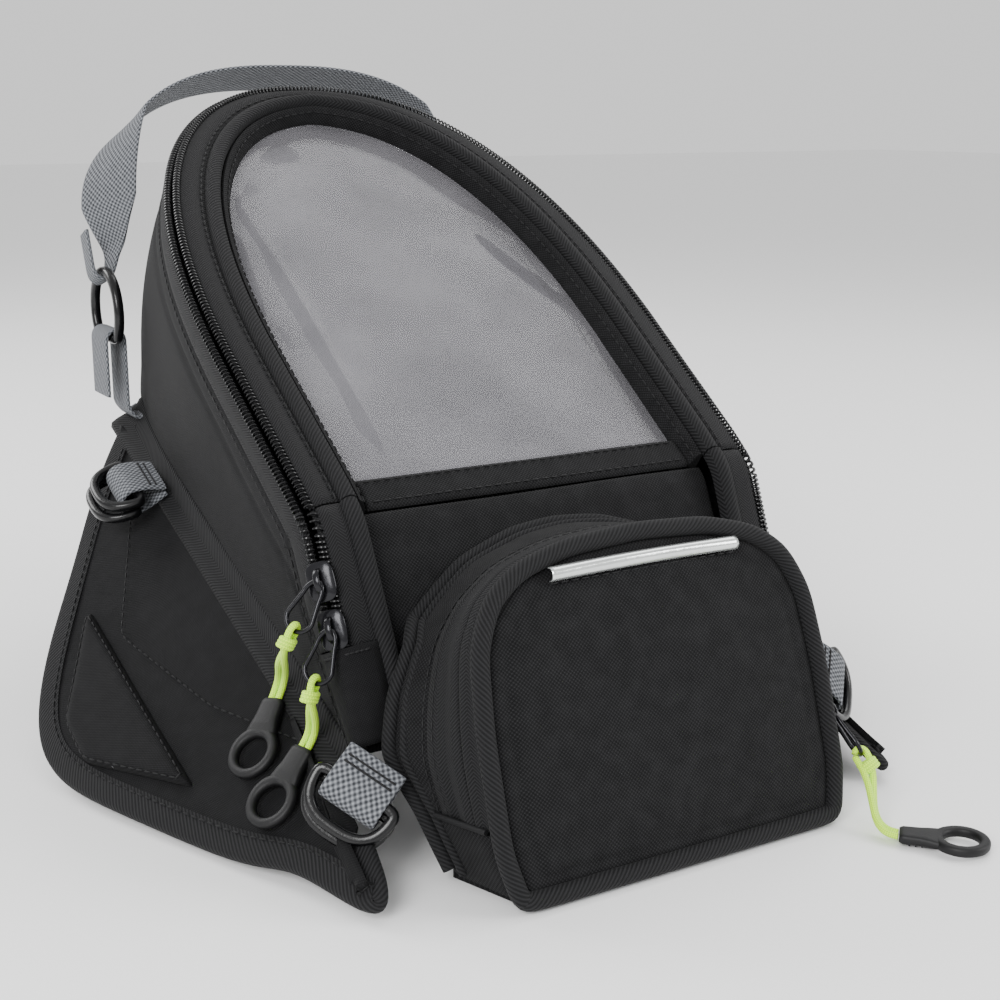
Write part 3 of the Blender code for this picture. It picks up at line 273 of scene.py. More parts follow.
def arch(half_width, start, height, power, count=400):
    """Half of a superellipse from the left side over the top to the right side."""
    angle = np.linspace(math.pi, 0.0, count)
    cosine = np.cos(angle)
    across = np.sign(cosine) * np.abs(cosine) ** (2.0 / power) * half_width
    up = np.clip(np.sin(angle), 0.0, 1.0) ** (2.0 / power) * height + start
    return np.stack([across, up], axis=1)


def zip_side(low, high, sign):
    """The zip line up one side between two heights on the cover."""
    q = np.linspace(low, high, max(3, int(round((high - low) / ZIP_STEP)) + 1))
    return np.stack([sign * zip_half_width(q), q], axis=1)


class ZipRun:
    """Stations along a stretch of the main zip, with the directions that its parts need."""

    def __init__(self, line):
        self.line = line
        ahead = tangents(line)
        self.inward = np.stack([ahead[:, 1], -ahead[:, 0]], axis=1)
        self.narrow = TOP_NARROWING + (1.0 - TOP_NARROWING) * np.abs(self.inward[:, 0]) ** 0.7
        self.level = zip_level(line[:, 1])
        self.origin = cover(line[:, 0], line[:, 1], self.level)
        self.ahead = tangents(self.origin)
        nudge = 1e-4
        near = cover(line[:, 0] + nudge * self.inward[:, 0], line[:, 1] + nudge * self.inward[:, 1],
                     self.level)
        self.into_lid = unit(near - self.origin)
        self.foot = base_point_below(self.origin, line)
        drop = self.foot - self.origin
        along = np.sum(drop * self.ahead, axis=1, keepdims=True)
        self.down_wall = unit(drop - along * self.ahead)
        self.depth = np.sum(drop * self.down_wall, axis=1)
        self.lid_out = unit(np.cross(self.into_lid, self.ahead))
        self.lid_out *= np.sign(np.sum(self.lid_out * -self.down_wall, axis=1, keepdims=True))
        self.wall_out = unit(np.cross(self.down_wall, self.ahead))
        self.wall_out *= np.sign(np.sum(self.wall_out * -self.into_lid, axis=1, keepdims=True))
        self.corner_out = unit(-(self.into_lid + self.down_wall))
        self.to_lid = unit(self.into_lid - self.down_wall)

    def inset(self, distance, level):
        """Points distance in from the zip along the cover, level above the coil."""
        reach = distance * self.narrow
        return cover(self.line[:, 0] + reach * self.inward[:, 0],
                     self.line[:, 1] + reach * self.inward[:, 1], self.level + level)

    def coil_corner(self, across, out):
        """Points in the section's diagonal frame: across towards the lid, out from the bag."""
        return self.origin + across * self.to_lid + out * self.corner_out

    def wall(self, distance, out):
        """Points distance down the side wall, out from its coil line."""
        reach = np.asarray(distance)
        reach = reach[:, None] if reach.ndim else reach
        return self.origin + reach * self.down_wall + out * self.wall_out


def base_point_below(origin, line):
    """Where the side wall that starts at each zip station meets the base outline."""
    outline = base_outline()
    low = origin - np.array(BASE_FRONT)
    back = low @ BASE_BACK
    peak = back.max()
    arch_start = origin[np.argmin(np.abs(line[:, 1] - ZIP_ARCH_Q))]
    start = float((arch_start - np.array(BASE_FRONT)) @ BASE_BACK) if peak > 0.2 else 0.123
    straight = line[:, 1] <= ZIP_ARCH_Q
    feet = np.empty_like(origin)
    side = np.sign(line[:, 0])
    along = np.clip(back, 0.0, start) * BASE_STRAIGHT / start
    feet[:] = base_place(side * BASE_HALF_WIDTH, along, 0.0)
    if not straight.all():
        share = np.arctan2(
            np.clip((line[:, 1] - ZIP_ARCH_Q) / ZIP_ARCH_HEIGHT, 0.0, 1.0) ** (ZIP_ARCH_POWER / 2.0),
            np.sign(line[:, 0]) * np.abs(line[:, 0] / ZIP_HALF_WIDTH).clip(0.0,
                                                                           1.0) ** (ZIP_ARCH_POWER / 2.0),
        )
        index = np.interp(math.pi - share, np.linspace(0.0, math.pi, len(outline)), np.arange(len(outline)))
        x = np.interp(index, np.arange(len(outline)), outline[:, 0])
        b = np.interp(index, np.arange(len(outline)), outline[:, 1])
        feet[~straight] = base_place(x, b, 0.0)[~straight]
    return feet


def base_place(x, back, level):
    """Point on the base plane, back along it and level above it."""
    x, back, level = np.broadcast_arrays(*(np.asarray(v, float) for v in (x, back, level)))
    return (np.array(BASE_FRONT) + x[..., None] * X_AXIS + back[..., None] * BASE_BACK
            + level[..., None] * BASE_UP)


def base_outline():
    """The rounded rear part of the base, from its left side round to its right."""
    return arch(BASE_HALF_WIDTH, BASE_STRAIGHT, BASE_LENGTH - BASE_STRAIGHT, BASE_POWER)


def full_outline(half):
    """A whole outline from its left half."""
    half = np.asarray(half, float)
    return np.concatenate([half, (half * np.array([-1.0, 1.0]))[-2::-1]])


def face_place(x, up, level):
    """Point on the pocket's leaning front face."""
    x, up, level = np.broadcast_arrays(*(np.asarray(v, float) for v in (x, up, level)))
    start = np.array([0.0, POCKET_FRONT_Y, 0.0])
    return start + x[..., None] * X_AXIS + up[..., None] * FACE_UP + level[..., None] * FACE_OUT


def flap_frame(sign):
    """Origin on the hinge line, and unit vectors along the seam, down the flap and out of it."""
    turn = np.array([sign, 1.0, 1.0])
    rear = np.array(FLAP_SEAM_REAR)
    front = np.array(FLAP_SEAM_FRONT)
    along = unit(front - rear)
    down = np.array(FLAP_FLOOR_POINT) - rear
    down = unit(down - (down @ along) * along)
    out = unit(np.cross(along, down))
    out = out if out[2] > 0 else -out
    return rear * turn, along * turn, down * turn, out * turn


def flap_edge():
    """Free edge of the flap, its corners rounded: rear edge, along the floor, up to the seam in front."""
    rear, along, down, _ = flap_frame(1.0)
    edge = list(FLAP_OUTLINE) + [(s, 0.5) for s in np.linspace(*FLAP_FLOOR_S, 8)]
    edge = np.array(edge)
    floor = (0.0021 - rear[2] - edge[:, 0] * along[2]) / down[2]
    edge[:, 1] = np.minimum(edge[:, 1], floor)
    edge = resample(np.concatenate([edge, [[FLAP_FRONT_S, 0.0010]]]), count=FLAP_STATIONS)
    for _ in range(FLAP_ROUNDING):
        edge[1:-1] = 0.25 * edge[:-2] + 0.5 * edge[1:-1] + 0.25 * edge[2:]
    return edge


def inward(edge):
    """Unit directions that point into the flap from its free edge."""
    ahead = tangents(edge)
    return np.stack([ahead[:, 1], -ahead[:, 0]], axis=1)


# ---- finishes ----------------------------------------------------------------------------------
class Finish:
    """One procedural material: a Principled shader and the nodes that feed it."""

    def __init__(self, name, colour, roughness, metallic=0.0):
        self.made = bpy.data.materials.new(name)
        self.made.use_nodes = True
        self.tree = self.made.node_tree
        self.shader = self.tree.nodes["Principled BSDF"]
        self.set("Base Color", (*colour, 1.0))
        self.set("Roughness", roughness)
        self.set("Metallic", metallic)

    def set(self, socket, value):
        """Puts a number, a colour or another node's output on one of the shader's sockets."""
        self.feed(self.shader.inputs[socket], value)

    def feed(self, socket, value):
        """Links a socket to a node's output, or sets it to a plain value."""
        if isinstance(value, bpy.types.NodeSocket):
            self.tree.links.new(value, socket)
        else:
            socket.default_value = value

    def node(self, kind, **settings):
        """A new node with its settings."""
        made = self.tree.nodes.new(kind)
        for name, value in settings.items():
            setattr(made, name, value)
        return made

    def math(self, operation, *values):
        """The result of a Math node."""
        made = self.node("ShaderNodeMath", operation=operation)
        for socket, value in zip(made.inputs, values):
            self.feed(socket, value)
        return made.outputs[0]

    def cloth_way(self):
        """The two lengths along the cloth, in metres, from the piece's own UV map."""
        split = self.node("ShaderNodeSeparateXYZ")
        self.feed(split.inputs[0], self.node("ShaderNodeTexCoord").outputs["UV"])
        return split.outputs[0], split.outputs[1]

    def solid_way(self, tilt=0.0):
        """Two lengths along a flat piece that leans back by tilt, from Object coordinates."""
        turned = self.node("ShaderNodeMapping")
        turned.inputs["Rotation"].default_value = (-tilt, 0.0, 0.0)
        self.feed(turned.inputs["Vector"], self.node("ShaderNodeTexCoord").outputs["Object"])
        split = self.node("ShaderNodeSeparateXYZ")
        self.feed(split.inputs[0], turned.outputs[0])
        return split.outputs[0], split.outputs[1]

    def ridges(self, length, pitch):
        """A sine of the length, with one ridge in each pitch."""
        return self.math("SINE", self.math("MULTIPLY", length, 2.0 * math.pi / pitch))

    def noise(self, scale, detail=3.0):
        """Soft noise on Object coordinates, from 0 to 1."""
        made = self.node("ShaderNodeTexNoise")
        made.inputs["Scale"].default_value = scale
        made.inputs["Detail"].default_value = detail
        self.feed(made.inputs["Vector"], self.node("ShaderNodeTexCoord").outputs["Object"])
        return made.outputs[0]

    def shades(self, factor, dark, light):
        """The colour between dark and light at the factor."""
        ramp = self.node("ShaderNodeMix", data_type="RGBA")
        self.feed(ramp.inputs[0], factor)
        ramp.inputs[6].default_value = (*dark, 1.0)
        ramp.inputs[7].default_value = (*light, 1.0)
        return ramp.outputs[2]

    def relief(self, height, depth, strength=1.0):
        """Bump of a depth in metres."""
        made = self.node("ShaderNodeBump")
        made.inputs["Distance"].default_value = depth
        made.inputs["Strength"].default_value = strength
        self.feed(made.inputs["Height"], height)
        self.set("Normal", made.outputs[0])


def woven(name, dark, light, pitch, depth, roughness, flat=None):
    """Plain weave: the product of a sine across and a sine along stands up where threads cross."""
    made = Finish(name, dark, roughness)
    across, along = made.cloth_way() if flat is None else made.solid_way(flat)
    weave = made.math("MULTIPLY", made.ridges(across, pitch), made.ridges(along, pitch))
    height = made.math("MULTIPLY_ADD", weave, 0.5, 0.5)
    wear = made.math("MULTIPLY_ADD", made.noise(180.0), 0.7, -0.35)
    shade = made.math("ADD", made.math("MULTIPLY", height, height), wear)
    made.set("Base Color", made.shades(made.math("MAXIMUM", shade, 0.0), dark, light))
    made.relief(height, depth)
    made.set("Specular IOR Level", 0.14)
    made.set("Sheen Weight", 0.02)
    made.set("Sheen Roughness", 0.5)
    return made.made


def herringbone(name, dark, light, pitch, stripe, depth, roughness):
    """Twill whose slant turns round at each stripe: a sine of along plus across folded to and fro."""
    made = Finish(name, dark, roughness)
    across, along = made.cloth_way()
    folded = made.math("PINGPONG", across, stripe)
    slant = made.ridges(made.math("ADD", along, folded), pitch)
    height = made.math("MULTIPLY_ADD", slant, 0.5, 0.5)
    made.set("Base Color", made.shades(height, dark, light))
    made.relief(height, depth)
    made.set("Specular IOR Level", 0.18)
    made.set("Sheen Weight", 0.02)
    made.set("Sheen Roughness", 0.5)
    return made.made


def basket(name, dark, light, pitch, depth):
    """Webbing: light threads show in rows of dots between dark ones."""
    made = Finish(name, dark, 0.75)
    across, along = made.cloth_way()
    rows = made.ridges(across, pitch)
    steps = made.ridges(along, 1.15 * pitch)
    dots = made.math("MULTIPLY", rows, steps)
    height = made.math("MULTIPLY_ADD", dots, 0.5, 0.5)
    speck = made.math("MULTIPLY_ADD", made.noise(900.0), 0.5, -0.25)
    factor = made.math("ADD", made.math("POWER", height, 1.4), speck)
    clamped = made.math("MINIMUM", made.math("MAXIMUM", factor, 0.0), 1.0)
    made.set("Base Color", made.shades(clamped, dark, light))
    made.relief(height, depth)
    made.set("Specular IOR Level", 0.2)
    made.set("Sheen Weight", 0.04)
    return made.made


def moulded(name, colour, roughness, grain, metallic=0.0, coat=0.0):
    """Plastic or coated metal: fine grain in its height and slightly uneven gloss."""
    made = Finish(name, colour, roughness, metallic)
    speckle = made.noise(grain, 4.0)
    made.relief(speckle, 0.00006)
    made.set("Roughness", made.math("MULTIPLY_ADD", made.noise(60.0), 0.16, roughness - 0.08))
    made.set("Specular IOR Level", 0.28)
    made.set("Coat Weight", coat)
    made.set("Coat Roughness", 0.12)
    return made.made


def braided(name, dark, light):
    """Cord cover: two slants of sines cross round it, on the cord's own map, with a faint painted glow in its
    light thread colour.
    """
    made = Finish(name, light, 0.5)
    across, along = made.cloth_way()
    one = made.ridges(made.math("ADD", along, across), 0.0013)
    other = made.ridges(made.math("SUBTRACT", along, across), 0.0013)
    height = made.math("MULTIPLY_ADD", made.math("MULTIPLY", one, other), 0.5, 0.5)
    made.set("Base Color", made.shades(height, dark, light))
    made.relief(height, 0.00018)
    made.set("Sheen Weight", 0.2)
    # painted glow: the cord emits its light thread colour faintly, though it is no lamp
    made.set("Emission Color", (*light, 1.0))
    made.set("Emission Strength", 0.08)
    return made.made


def clear_film(name):
    """Soft clear film: mostly see-through, glossy, with a faint haze that varies."""
    made = Finish(name, (0.42, 0.41, 0.44), 0.06)
    haze = made.noise(22.0, 2.0)
    made.set("Alpha", made.math("MULTIPLY_ADD", haze, 0.16, 0.05))
    made.set("Specular IOR Level", 0.5)
    made.set("Coat Weight", 0.25)
    made.set("Coat Roughness", 0.03)
    return made.made


OXFORD = woven("oxford_cloth", (0.0020, 0.0020, 0.0023), (0.016, 0.016, 0.017), 0.00125, 0.00022, 0.82)
FINE_CLOTH = woven("wall_cloth", (0.0022, 0.0022, 0.0025), (0.010, 0.010, 0.011), 0.00085, 0.00012, 0.80)
SOLID_CLOTH = woven("base_cloth", (0.0022, 0.0022, 0.0025), (0.014, 0.014, 0.015), 0.00125, 0.0002, 0.85,
                    flat=BASE_SLOPE)
FLOOR_CLOTH = woven("pocket_floor_cloth", (0.0022, 0.0022, 0.0025), (0.014, 0.014, 0.015), 0.00125, 0.0002,
                    0.85, flat=0.0)
TAPE = herringbone("herringbone_tape", (0.0018, 0.0018, 0.0021), (0.013, 0.013, 0.014), 0.00110, 0.0032,
                   0.00016, 0.75)
EDGE_TAPE = herringbone("binding_twill", (0.0018, 0.0018, 0.0021), (0.013, 0.013, 0.014), 0.0016, 0.0200,
                        0.0002, 0.78)
WEBBING = basket("grey_webbing", (0.020, 0.022, 0.026), (0.235, 0.245, 0.265), 0.0019, 0.00035)
BACKING = woven("window_backing_cloth", (0.022, 0.022, 0.026), (0.080, 0.080, 0.088), 0.0011, 0.0001, 0.85)
COIL = moulded("zip_coil_black", (0.0035, 0.0035, 0.0040), 0.30, 900.0, coat=0.10)
GLOSS = moulded("ring_plastic", (0.0030, 0.0030, 0.0034), 0.26, 700.0, coat=0.10)
SOFT = moulded("pull_plastic", (0.0050, 0.0050, 0.0055), 0.52, 1500.0)
METAL = moulded("black_metal_coat", (0.010, 0.010, 0.012), 0.24, 600.0, metallic=0.6, coat=0.15)
THREAD = moulded("black_thread", (0.0045, 0.0045, 0.0050), 0.65, 2500.0)
# neon cord colour with a faint painted glow from its emission
NEON_GLOWING = braided("neon_braid_painted_glow", (0.30, 0.62, 0.004), (0.66, 1.0, 0.015))
FILM = clear_film("window_film_clear")
SILVER = moulded("reflective_film", (0.62, 0.64, 0.63), 0.16, 350.0, metallic=0.75, coat=0.5)
RUBBER = moulded("grip_rubber_ribbed", (0.014, 0.014, 0.014), 0.85, 500.0)
BOARD = moulded("board_plastic", (0.03, 0.03, 0.03), 0.6, 300.0)
STEEL = moulded("magnet_plate", (0.32, 0.32, 0.33), 0.35, 200.0, metallic=1.0)


# ---- surfaces ----------------------------------------------------------------------------------
def eased_loop(line, passes):
    """A closed line with its corners eased: each point moves halfway to its neighbours' middle."""
    for _ in range(passes):
        line = 0.25 * np.roll(line, 1, axis=0) + 0.5 * line + 0.25 * np.roll(line, -1, axis=0)
    return line


def running_length(grid, axis):
    """Distance gone along an axis of the grid of points, from the first."""
    steps = np.linalg.norm(np.diff(grid, axis=axis), axis=2)
    zero = np.zeros_like(np.take(steps, [0], axis=axis))
    return np.concatenate([zero, np.cumsum(steps, axis=axis)], axis=axis)


def loft(name, grid, look, body, stands_for=(), slot=None, wrap=(False, False), caps=False, thick=0.0,
         out=None, ride=True):
    """A surface over a grid of points (rows, columns, 3).

    wrap joins the last row or column to the first, caps closes the ends of a tube, and thick gives
    a wall behind the surface. Its map is the length along the columns and rows, in metres. out is a
    direction, or one for each point, that the faces look along; without it they face outwards.
    """
    grid = np.asarray(grid, float)
    rows, columns = grid.shape[:2]
    whole = np.concatenate([grid, grid[:1]], axis=0) if wrap[0] else grid
    whole = np.concatenate([whole, whole[:, :1]], axis=1) if wrap[1] else whole
    along = np.repeat(running_length(whole, 0).mean(axis=1, keepdims=True), whole.shape[1], axis=1)
    across = running_length(whole, 1)
    across = across - 0.5 * across[:, -1:]
    lengths = np.stack([across, along], axis=2)
    r, c = np.meshgrid(np.arange(whole.shape[0] - 1), np.arange(whole.shape[1] - 1), indexing="ij")
    corner_rows = np.stack([r, r, r + 1, r + 1], axis=2).reshape(-1, 4)
    corner_columns = np.stack([c, c + 1, c + 1, c], axis=2).reshape(-1, 4)
    faces = (corner_rows % rows) * columns + corner_columns % columns
    maps = lengths[corner_rows, corner_columns]
    points = grid.reshape(-1, 3) + SHIFT
    first, second = grid[1:, :-1] - grid[:-1, :-1], grid[:-1, 1:] - grid[:-1, :-1]
    turned = np.cross(second, first)
    if out is None:
        away = grid[:-1, :-1] - (grid.mean(axis=1, keepdims=True)[:-1] if wrap[1] else grid.mean(axis=(0, 1)))
    else:
        away = np.broadcast_to(np.asarray(out, float), grid.shape)[:-1, :-1]
    if float(np.sum(turned * away)) < 0:
        faces, maps = faces[:, ::-1], maps[:, ::-1]
        flipped = True
    else:
        flipped = False
    polygons = faces.tolist()
    corner_maps = maps.reshape(-1, 2)
    if caps:
        ends = [list(range(columns)), list(range((rows - 1) * columns, rows * columns))]
        ends[0 if not flipped else 1].reverse()
        polygons += ends
        corner_maps = np.concatenate([corner_maps, lengths[0, :columns], lengths[-1, :columns]])
    mesh = bpy.data.meshes.new(name)
    mesh.from_pydata(points.tolist(), [], polygons)
    layer = mesh.uv_layers.new(name="UVMap")
    layer.data.foreach_set("uv", np.ascontiguousarray(corner_maps, np.float32).ravel())
    mesh.materials.append(look)
    mesh.shade_smooth()
    mesh.set_sharp_from_angle(angle=math.radians(50.0))
    piece = bpy.data.objects.new(name, mesh)
    bpy.context.scene.collection.objects.link(piece)
    if thick:
        wall = piece.modifiers.new("wall", "SOLIDIFY")
        wall.thickness = thick
        wall.offset = -1.0
        wall.use_even_offset = False
    return mounted(piece, body, stands_for, slot, ride)


def mounted(piece, body, stands_for=(), slot=None, ride=True):
    """The piece on its body, standing for its solids; slot is not used."""
    if ride:
        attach(piece, body)
    if stands_for:
        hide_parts(*([stands_for] if isinstance(stands_for, str) else stands_for))
    return piece


def bead_sections(path, side, out, half_wide, half_thick, count=12, power=2.0, closed=False):
    """Superellipse sections along a line: side and out are its directions, one or one for each point."""
    path = np.asarray(path, float)
    turn = np.linspace(0.0, 2.0 * math.pi, count, endpoint=False)
    cosine, sine = np.cos(turn), np.sin(turn)
    flat_x = np.sign(cosine) * np.abs(cosine) ** (2.0 / power)
    flat_y = np.sign(sine) * np.abs(sine) ** (2.0 / power)
    side = np.broadcast_to(side, path.shape)[:, None]
    out = np.broadcast_to(out, path.shape)[:, None]
    half_wide = np.broadcast_to(half_wide, len(path))[:, None, None]
    half_thick = np.broadcast_to(half_thick, len(path))[:, None, None]
    return path[:, None] + half_wide * flat_x[None, :, None] * side + half_thick * flat_y[None, :, None] * out


def line_frame(path, facing, closed=False):
    """Unit directions at each point of a line: across it, and out of it on the side of facing."""
    path = np.asarray(path, float)
    if closed:
        ahead = unit(np.roll(path, -1, axis=0) - np.roll(path, 1, axis=0))
    else:
        ahead = tangents(path)
    across = unit(np.cross(ahead, np.broadcast_to(facing, path.shape)))
    return across, unit(np.cross(across, ahead))


def round_bar(name, path, radius, look, body, facing=(0.31, 0.47, 0.83), closed=False, count=12, **more):
    """A round bar along a line."""
    across, out = line_frame(path, facing, closed)
    grid = bead_sections(path, across, out, radius, radius, count)
    return loft(name, grid, look, body, wrap=(closed, True), caps=not closed, **more)


def webbing_band(name, path, width_way, width, thick, look, body, closed=False, **more):
    """A flat strap with rounded edges along a line; its width may vary from point to point."""
    path = np.asarray(path, float)
    side = unit(np.broadcast_to(width_way, path.shape))
    ahead = tangents(path)
    out = unit(np.cross(ahead, side))
    grid = bead_sections(path, side, out, 0.5 * np.asarray(width), 0.5 * thick, 20, power=5.0)
    return loft(name, grid, look, body, wrap=(closed, True), caps=not closed, **more)


def coil_teeth(name, path, across, out, look, body, pitch=0.0016, half_wide=0.00125, half_high=0.0011,
               wire=0.00036, **more):
    """A zip's wound wire: a helix whose turns lie across the line, pitch apart."""
    length = np.linalg.norm(np.diff(path, axis=0), axis=1).sum()
    turns = max(3, int(length / pitch))
    count = turns * 10
    along = np.linspace(0.0, 1.0, count)
    station = np.linspace(0.0, 1.0, len(path))

    def at(values):
        return np.stack([np.interp(along, station, values[:, i]) for i in range(3)], axis=1)

    angle = 2.0 * math.pi * turns * along
    centre = at(path)
    sideways = half_wide * np.cos(angle)[:, None] * at(across)
    upwards = half_high * np.sin(angle)[:, None] * at(out)
    line = centre + sideways + upwards
    side, normal = line_frame(line, at(tangents(path)))
    grid = bead_sections(line, side, normal, wire, wire, 5)
    return loft(name, grid, look, body, wrap=(False, True), caps=True, **more)


def stitches(name, path, out, body, look=None, pitch=0.0036, length=0.0027, radius=0.00032, lift=0.0001,
             **more):
    """A row of thread stitches: slim spindles end to end along a line, each lying on the cloth."""
    path = np.asarray(path, float)
    ends = resample(path, step=pitch)
    along = unit(np.diff(ends, axis=0))
    centres = 0.5 * (ends[1:] + ends[:-1])
    normals = np.broadcast_to(out, path.shape)
    share = np.linspace(0.0, 1.0, len(path))
    wanted = np.linspace(0.0, 1.0, len(centres))
    normal = unit(np.stack([np.interp(wanted, share, normals[:, i]) for i in range(3)], axis=1))
    side = unit(np.cross(along, normal))
    spots = np.array([-0.5, -0.36, 0.0, 0.36, 0.5])
    swell = np.array([0.25, 0.8, 1.0, 0.8, 0.25])
    turn = np.linspace(0.0, 2.0 * math.pi, 6, endpoint=False)
    ring = (np.cos(turn)[None, None, :, None] * side[:, None, None]
            + np.sin(turn)[None, None, :, None] * normal[:, None, None])
    points = (centres[:, None, None] + length * spots[None, :, None, None] * along[:, None, None]
              + radius * swell[None, :, None, None] * ring + lift * normal[:, None, None])
    number = len(centres)
    index = np.arange(number * 30).reshape(number, 5, 6)
    after = np.roll(index, -1, axis=2)
    quads = np.stack([index[:, :-1], after[:, :-1], after[:, 1:], index[:, 1:]], axis=3).reshape(-1, 4)
    polygons = quads.tolist() + index[:, 0, ::-1].tolist() + index[:, -1].tolist()
    mesh = bpy.data.meshes.new(name)
    mesh.from_pydata((points.reshape(-1, 3) + SHIFT).tolist(), [], polygons)
    mesh.materials.append(look or THREAD)
    mesh.shade_smooth()
    piece = bpy.data.objects.new(name, mesh)
    bpy.context.scene.collection.objects.link(piece)
    return mounted(piece, body, **more)


def ripples(u, v, size, seed, count=5):
    """Soft unevenness of cloth: a few slow sines of both parameters, each with its own slant."""
    draw = np.random.default_rng(seed)
    total = np.zeros(np.broadcast(u, v).shape)
    for _ in range(count):
        slant, pace, phase = draw.uniform(0.0, math.pi), draw.uniform(0.6, 1.8), draw.uniform(0.0, 6.28)
        total = total + np.sin(pace * (np.cos(slant) * u + np.sin(slant) * v) / size + phase)
    return total / count


# ---- camera, light and floor -------------------------------------------------------------------
def camera():
    """The camera's place and way, with its top edge level."""
    data = bpy.data.cameras.new("camera")
    data.lens, data.sensor_width = CAMERA_LENS, SENSOR
    made = bpy.data.objects.new("camera", data)
    made.location = CAMERA_AT
    made.rotation_mode = "QUATERNION"
    made.rotation_quaternion = Vector(CAMERA_WAY).to_track_quat("-Z", "Y")
    bpy.context.scene.collection.objects.link(made)
    bpy.context.scene.camera = made


BAG_MIDDLE = (0.0, 0.0, 0.11)
FLOOR_REACH = 6.0
FLOOR_DROP = 0.0004
PANELS = (
    ("panel_left", (-0.95, -0.75, 0.75), 0.6, 20.0),
    ("panel_right", (0.90, -0.80, 0.55), 0.5, 9.0),
    ("panel_top", (0.62, 0.22, 1.05), 0.75, 6.0),
    ("panel_back", (-0.60, 0.95, 0.80), 0.6, 9.0),
)


def soft_light(name, at, towards, size, power, colour=(1.0, 1.0, 1.0)):
    """A square light panel that faces a point."""
    data = bpy.data.lights.new(name, "AREA")
    data.shape, data.size, data.energy, data.color = "SQUARE", size, power, colour
    made = bpy.data.objects.new(name, data)
    made.location = at
    made.rotation_mode = "QUATERNION"
    made.rotation_quaternion = (Vector(towards) - Vector(at)).to_track_quat("-Z", "Y")
    bpy.context.scene.collection.objects.link(made)


def studio():
    """Pale floor, bright surroundings and four soft panels."""
    world = bpy.data.worlds.new("studio")
    world.use_nodes = True
    world.node_tree.nodes["Background"].inputs[0].default_value = (1.0, 1.0, 1.0, 1.0)
    world.node_tree.nodes["Background"].inputs[1].default_value = 1.0
    bpy.context.scene.world = world
    for panel, at, size, power in PANELS:
        soft_light(panel, at, BAG_MIDDLE, size, power)
    mesh = bpy.data.meshes.new("floor")
    corners = [(x * FLOOR_REACH, y * FLOOR_REACH, 0.0) for x, y in ((-1, -1), (1, -1), (1, 1), (-1, 1))]
    mesh.from_pydata(corners, [], [(0, 1, 2, 3)])
    paper = Finish("pale_floor", (0.90, 0.90, 0.90), 0.55)
    paper.set("Roughness", paper.math("MULTIPLY_ADD", paper.noise(3.0), 0.1, 0.5))
    mesh.materials.append(paper.made)
    floor = bpy.data.objects.new("floor", mesh)
    floor.location = (0.0, 0.0, -FLOOR_DROP)
    bpy.context.scene.collection.objects.link(floor)


camera()
studio()

# ---- the zip's line ----------------------------------------------------------------------------
FINE_STEP = 0.0030
COIL_HALF = 0.00135
TAPE_SKIN = 0.0008
FACE_STITCH_LEVEL = 0.0012
FOLD_CURVE = 1.4
left_lid = zip_side(LID_END_Q, ZIP_ARCH_Q, -1.0)
over_top = resample(arch(ZIP_HALF_WIDTH, ZIP_ARCH_Q, ZIP_ARCH_HEIGHT, ZIP_ARCH_POWER), step=0.001)
MIRROR = np.array([-1.0, 1.0])
lid_knots = np.concatenate([left_lid[:-1], over_top, (left_lid[:-1] * MIRROR)[::-1]])
lid_line = resample(lid_knots, step=FINE_STEP)
front_left = resample(zip_side(CORNER_END_Q, FRONT_START_Q, -1.0), step=FINE_STEP)
whole_line = np.concatenate([front_left, lid_line, (front_left * MIRROR)[::-1]])
lid_run, whole_run = ZipRun(lid_line), ZipRun(whole_line)
zipped = whole_line[:, 1] >= ZIP_END_Q
body_run = ZipRun(whole_line[zipped])


def lid_strip(run, reaches, levels):
    """Grid across the lid's border: each reach in from the zip, at its level over the coil."""
    return np.stack([run.inset(u, v) for u, v in zip(reaches, levels)], axis=1)


PIPING_MIDDLE = 0.5 * (PIPING_START + PIPING_END)
PIPING_LEVEL = 0.0014
PIPING_RISE = 0.0032
FRONT_PIPING_EXTRA = 0.0007
FRONT_PIPING_SHIFT = 0.0004
FRONT_PIPING_HALF = 0.0032


def piping_profile(start, centre, half):
    """Reaches and levels of a piping's section: half an ellipse between its two feet."""
    turn = np.linspace(math.pi, 0.0, 11)
    reaches = [start, *(centre + half * np.cos(turn)), PIPING_END]
    levels = [0.0, *(PIPING_LEVEL + PIPING_RISE * np.sin(turn)), 0.0]
    return reaches, levels


